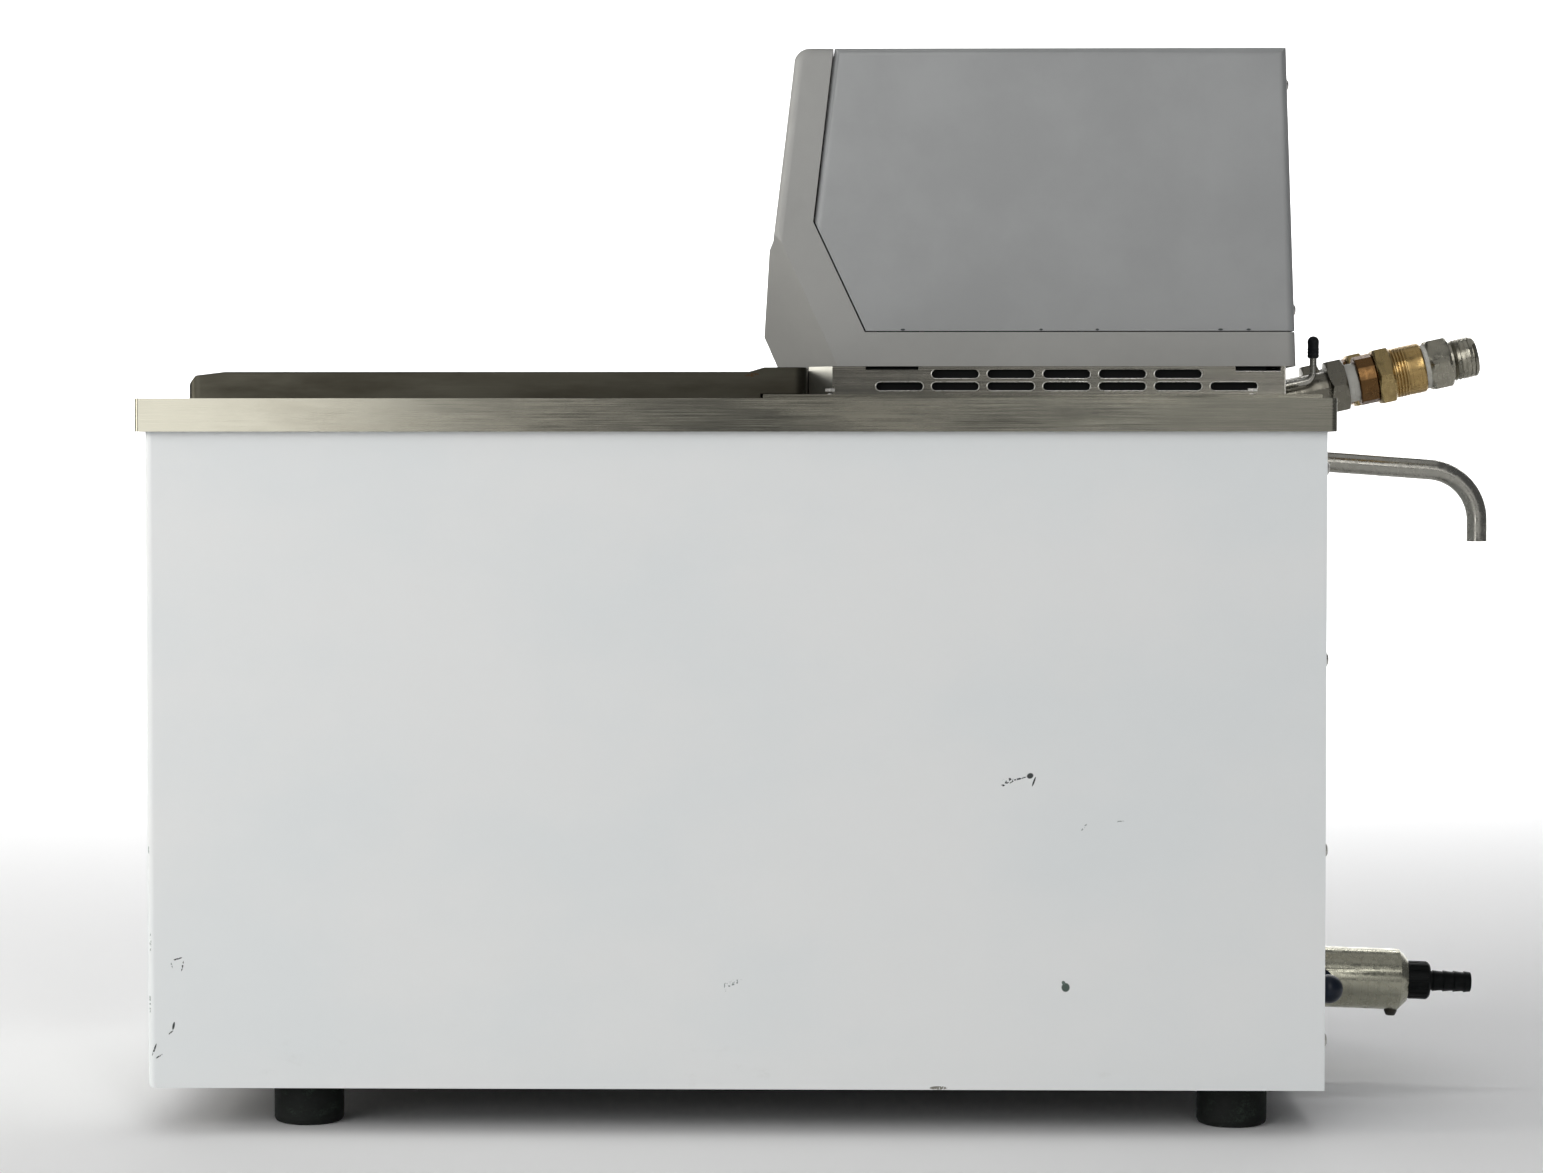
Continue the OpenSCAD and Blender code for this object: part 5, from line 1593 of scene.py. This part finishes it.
@dataclass
class Overflow:
    """The bent overflow pipe and its grommet."""

    shop: Workshop
    wall: float = 1 * MM
    bend: float = 25 * MM
    fall: float = math.radians(4.2)

    def build(self) -> None:
        """Builds and dresses both pieces."""
        low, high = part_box("overflow_pipe")
        radius = (high.x - low.x) / 2
        leg_y = high.y - radius
        slope = Vector((0, math.cos(self.fall), -math.sin(self.fall)))
        start = Vector((0, low.y + radius * math.sin(self.fall), high.z - radius * math.cos(self.fall)))
        corner = start + slope * ((leg_y - start.y) / slope.y)
        points = [start, corner, Vector((0, leg_y, low.z))]
        self.shop.pipe("overflow_pipe", route(points, [self.bend], 22), radius, self.wall)
        self.shop.formed("overflow_grommet", 0.4 * MM)


@dataclass
class Drain:
    """The drain: pipe, body with its set screw, hose nozzle and valve knob."""

    shop: Workshop
    face_from_mount: float = -21.7 * MM
    screw_in: float = -6.9 * MM
    screw_out: float = 14.2 * MM
    screw_r: float = 3.2 * MM
    screw_len: float = 3.8 * MM
    stem: tuple[float, float] = (6.0 * MM, 9.0 * MM)
    collar: tuple[float, float] = (9.1 * MM, 11.4 * MM)
    tail_len: float = 20.6 * MM
    bore: float = 3.25 * MM
    root: float = 4.7 * MM
    crest: float = 5.2 * MM
    teeth: int = 4
    ribs: int = 18

    def build(self) -> None:
        """Builds and dresses every piece."""
        self.shop.formed("drain_pipe", 0.0)
        self.shop.formed("drain_body", 0.35 * MM, finish="drain_steel")
        self.set_screw()
        self.nozzle()
        self.shop.formed("drain_valve", 0.3 * MM)

    def axis(self) -> Axis:
        """The drain's axis, from the outer face of its body."""
        return mount_axis("drain_barb").shifted(self.face_from_mount)

    def set_screw(self) -> None:
        """The hexagon-socket screw under the body's outer end."""
        axis = self.axis()
        down = axis.along.cross(Vector((1, 0, 0))).normalized()
        down = down if down.z < 0 else -down
        foot = Axis(axis.at(self.screw_in) + down * self.screw_out, down)
        radius, tip, tall = self.screw_r, self.screw_r - 0.8 * MM, self.screw_len
        outer = [
            (0, 0), (radius, 0), (radius, 1.6 * MM), (tip, tall - 0.4 * MM), (tip - 0.4 * MM, tall),
            (1.5 * MM, tall), (1.4 * MM, tall - 1.8 * MM), (0, tall - 2 * MM),
        ]
        mesh = moved(lathe(outer, 24), foot.matrix)
        self.shop.piece(
            "drain_set_screw", mesh, "drain_body", slot="screw_steel", finish="dark_steel", edge=0.1 * MM
        )

    def nozzle(self) -> None:
        """The hose nozzle: a ribbed collar, then saw-tooth barbs."""
        bore, root = self.bore, self.root
        stem_r, stem_len = self.stem
        collar_r, collar_len = self.collar
        end = collar_len + self.tail_len
        section = [
            (bore, -stem_len), (stem_r, -stem_len), (stem_r, 0), (collar_r - 0.5 * MM, 0),
            (collar_r, 0.5 * MM), (collar_r, collar_len - 0.9 * MM), (collar_r - 0.9 * MM, collar_len),
            (root, collar_len),
        ]
        step = self.tail_len / self.teeth
        for i in range(self.teeth):
            z = collar_len + i * step
            section += [
                (root, z + 0.3 * step), (self.crest, z + 0.36 * step), (root + 0.1 * MM, z + 0.96 * step),
            ]
        section += [
            (root - 0.3 * MM, end), (bore + 0.2 * MM, end), (bore, end - 0.4 * MM), (bore, -stem_len),
        ]
        body = moved(lathe(section, 44), self.axis().matrix)
        # The last rib of the whole turn falls on the first.
        ribs = self.shop.shaped(
            self.shop.ring, "nozzle_plastic", Count=self.ribs + 1, Radius=collar_r,
            Size=(0.5 * MM, 0.9 * MM, collar_len - 2.6 * MM), Sweep=math.tau,
        )
        ribs.transform(self.axis().shifted(collar_len / 2).matrix)
        self.shop.instead("drain_nozzle", "barbed", joined([body, ribs]), sharp=28)


@dataclass
class PumpAndHeater:
    """What stands in the bath and under the head: pump, motor, heater, sensors and boards."""

    shop: Workshop
    rod: float = 4 * MM
    pitch: float = 16 * MM
    turns: int = 3
    steps: int = 40
    fins_round: int = 36
    fin_r: float = 38 * MM
    fin: tuple[float, float] = (3 * MM, 1.4 * MM)
    fin_share: float = 0.7
    fin_drop: float = 2 * MM
    plates: int = 24
    plate_end: float = 13 * MM
    plate_inset: float = 2.6 * MM

    def build(self) -> None:
        """Builds and dresses every piece."""
        soft = {
            "motor_standoffs": 0.3, "pump_motor": 0.8, "pump_shaft": 0.4, "motor_fan": 0.2,
            "impeller": 0.3, "pump_column": 0.4, "column_bush": 0.3, "pump_housing": 0.8,
            "temperature_probe": 0.5, "float_rod": 0.4, "level_float": 1.5, "board_standoffs": 0.3,
            "transformer": 0.4,
        }
        for node, edge in soft.items():
            self.shop.formed(node, edge * MM)
        self.shop.dressed("control_board")
        self.coil()
        self.fins()
        self.laminations()

    def coil(self) -> None:
        """The heater: one rod that comes down, winds round the pump column and goes up again."""
        low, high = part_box("heater_coil")
        centre = middle("heater_coil")
        around = (high.x - low.x) / 2 - self.rod
        total = self.turns * self.steps + self.steps // 2
        climb = self.pitch * (self.turns - 1) / total
        winding = []
        for i in range(total + 1):
            a = math.pi + math.tau * i / self.steps
            x, y = centre.x + around * math.cos(a), centre.y + around * math.sin(a)
            winding.append(Vector((x, y, low.z + self.rod + climb * i)))
        last, foot = winding[-1], winding[2 * self.steps]
        paths = ([*winding, Vector((last.x, last.y, high.z))], [foot, Vector((foot.x, foot.y, high.z))])
        material = self.shop.palette.material(SLOT_OF["heater_coil"])
        rods = [
            self.shop.tube.make(path_of(path), material, Radius=self.rod, Sides=20, Caps=True)
            for path in paths
        ]
        self.shop.instead("heater_coil", "wound", joined(rods), sharp=50)

    def fins(self) -> None:
        """Cooling fins round the motor."""
        low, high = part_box("pump_motor")
        # The last fin of the whole turn falls on the first.
        mesh = self.shop.shaped(
            self.shop.ring, "motor_metal", Count=self.fins_round + 1, Radius=self.fin_r,
            Size=(*self.fin, (high.z - low.z) * self.fin_share), Sweep=math.tau,
        )
        mesh.transform(Matrix.Translation(middle("pump_motor") - Vector((0, 0, self.fin_drop))))
        self.shop.piece("motor_fins", mesh, "pump_motor")

    def laminations(self) -> None:
        """The edges of the transformer's stacked plates."""
        low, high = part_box("transformer")
        centre = middle("transformer")
        span = (high.y - low.y) - 2 * self.plate_end
        mesh = self.shop.shaped(
            self.shop.row, "transformer_core", Count=self.plates,
            Step=(0, span / (self.plates - 1), 0),
            Start=(centre.x, low.y + self.plate_end, centre.z + 1.5 * MM),
            Size=(
                high.x - low.x - 2 * self.plate_inset, span / self.plates * 0.5, high.z - low.z - 3.4 * MM,
            ),
        )
        self.shop.piece("transformer_plates", mesh, "transformer")


# ---- Studio ----


@dataclass(frozen=True)
class SoftLight:
    """A soft rectangular light: where it hangs, what it faces, its size and its power in watts."""

    name: str
    at: Triple
    to: Triple
    size: tuple[float, float]
    power: float
    color: Color = (1.0, 1.0, 1.0)

    def build(self) -> None:
        """Hangs the light."""
        data = bpy.data.lights.new(self.name, "AREA")
        data.shape, data.size, data.size_y = "RECTANGLE", *self.size
        data.energy, data.color = self.power, self.color
        made = bpy.data.objects.new(self.name, data)
        made.location = self.at
        made.rotation_euler = (Vector(self.to) - Vector(self.at)).to_track_quat("-Z", "Y").to_euler()
        bpy.context.scene.collection.objects.link(made)


@dataclass
class Studio:
    """A pale sweep of floor and wall, soft lights and the camera at the bath's right-hand side."""

    lens: float = 86.4
    place: Triple = (1.8355, -0.0050, 0.3041)
    azimuth: float = 90.93
    elevation: float = 1.95
    floor_color: Color = (0.93, 0.93, 0.93)
    floor_back: float = -5.0
    floor_near: float = 5.0
    floor_half: float = 6.0
    wall_height: float = 3.2
    wall_bend: float = 1.6
    surround: tuple[Color, float] = ((0.95, 0.97, 1.0), 0.14)
    lights: tuple[SoftLight, ...] = (
        SoftLight("overhead", (0.1, -0.1, 2.3), (0.1, 0, 0), (2.2, 2.2), 5),
        SoftLight("key", (2.6, -1.75, 1.0), (0.1, -0.1, 0.25), (2.4, 2.4), 43),
        SoftLight("strip", (2.3, 0.45, 1.45), (0.0, 0.2, 0.2), (0.3, 2.0), 8.5),
        SoftLight("front", (0.5, -2.6, 1.0), (0.1, 0, 0.35), (1.3, 1.5), 28, (1.0, 0.98, 0.93)),
        SoftLight("side", (2.8, 1.15, 0.62), (0.1, 0.1, 0.3), (1.1, 0.6), 1.2),
        SoftLight("backdrop", (-2.9, 0, 2.8), (-4.6, 0, 0.3), (6.0, 1.2), 240),
    )

    def build(self) -> None:
        """Builds the floor, the lights and the camera."""
        self.sweep()
        self.world()
        for light in self.lights:
            light.build()
        self.camera()

    def sweep(self) -> None:
        """A floor that curves up into a wall behind the bath."""
        radius, steps = self.wall_bend, 16
        line = [(self.floor_near, 0.0)]
        for a in (math.pi / 2 * i / steps for i in range(steps + 1)):
            line.append((self.floor_back + radius - radius * math.sin(a), radius - radius * math.cos(a)))
        line.append((self.floor_back, self.wall_height))
        points = [(x, y, z) for x, z in line for y in (-self.floor_half, self.floor_half)]
        faces = [(2 * i, 2 * i + 1, 2 * i + 3, 2 * i + 2) for i in range(len(line) - 1)]
        mesh = bpy.data.meshes.new("floor")
        mesh.from_pydata(points, [], faces)
        mesh.shade_smooth()
        made = Shader("floor", self.floor_color, 0.9)
        cloud = made.noise(made.placed((0.6,) * 3), detail=2.0)
        made.feed("Base Color", made.blend(cloud, self.floor_color, shade(self.floor_color, 0.985)))
        mesh.materials.append(made.material)
        floor = bpy.data.objects.new("floor", mesh)
        bpy.context.scene.collection.objects.link(floor)

    def world(self) -> None:
        """A dim even surround, and plain colours with no film curve."""
        world = bpy.data.worlds.new("surround")
        world.use_nodes = True
        color, strength = self.surround
        background = world.node_tree.nodes["Background"]
        background.inputs["Color"].default_value = (*color, 1.0)
        background.inputs["Strength"].default_value = strength
        bpy.context.scene.world = world
        bpy.context.scene.view_settings.view_transform = "Standard"

    def camera(self) -> None:
        """The camera, square to the bath's side and a little above its middle."""
        data = bpy.data.cameras.new("camera")
        data.lens, data.sensor_width, data.clip_end = self.lens, 36.0, 50.0
        made = bpy.data.objects.new("camera", data)
        a, e = math.radians(self.azimuth), math.radians(self.elevation)
        back = Vector((math.sin(a) * math.cos(e), -math.cos(a) * math.cos(e), math.sin(e)))
        made.location = self.place
        made.rotation_euler = (-back).to_track_quat("-Z", "Y").to_euler()
        bpy.context.scene.collection.objects.link(made)
        bpy.context.scene.camera = made


def main() -> None:
    """Builds the studio and every sub-assembly in order."""
    logging.basicConfig(level=logging.INFO, format="%(name)s: %(message)s")
    Studio().build()
    shop = Workshop()
    parts = (
        Casing, Deck, Lid, Skirt, ControlHead, Fittings, BypassLever, Overflow, Drain, PumpAndHeater,
    )
    for part in parts:
        part(shop).build()
        log.info("%s done", part.__name__)


if __name__ == "__main__":
    main()
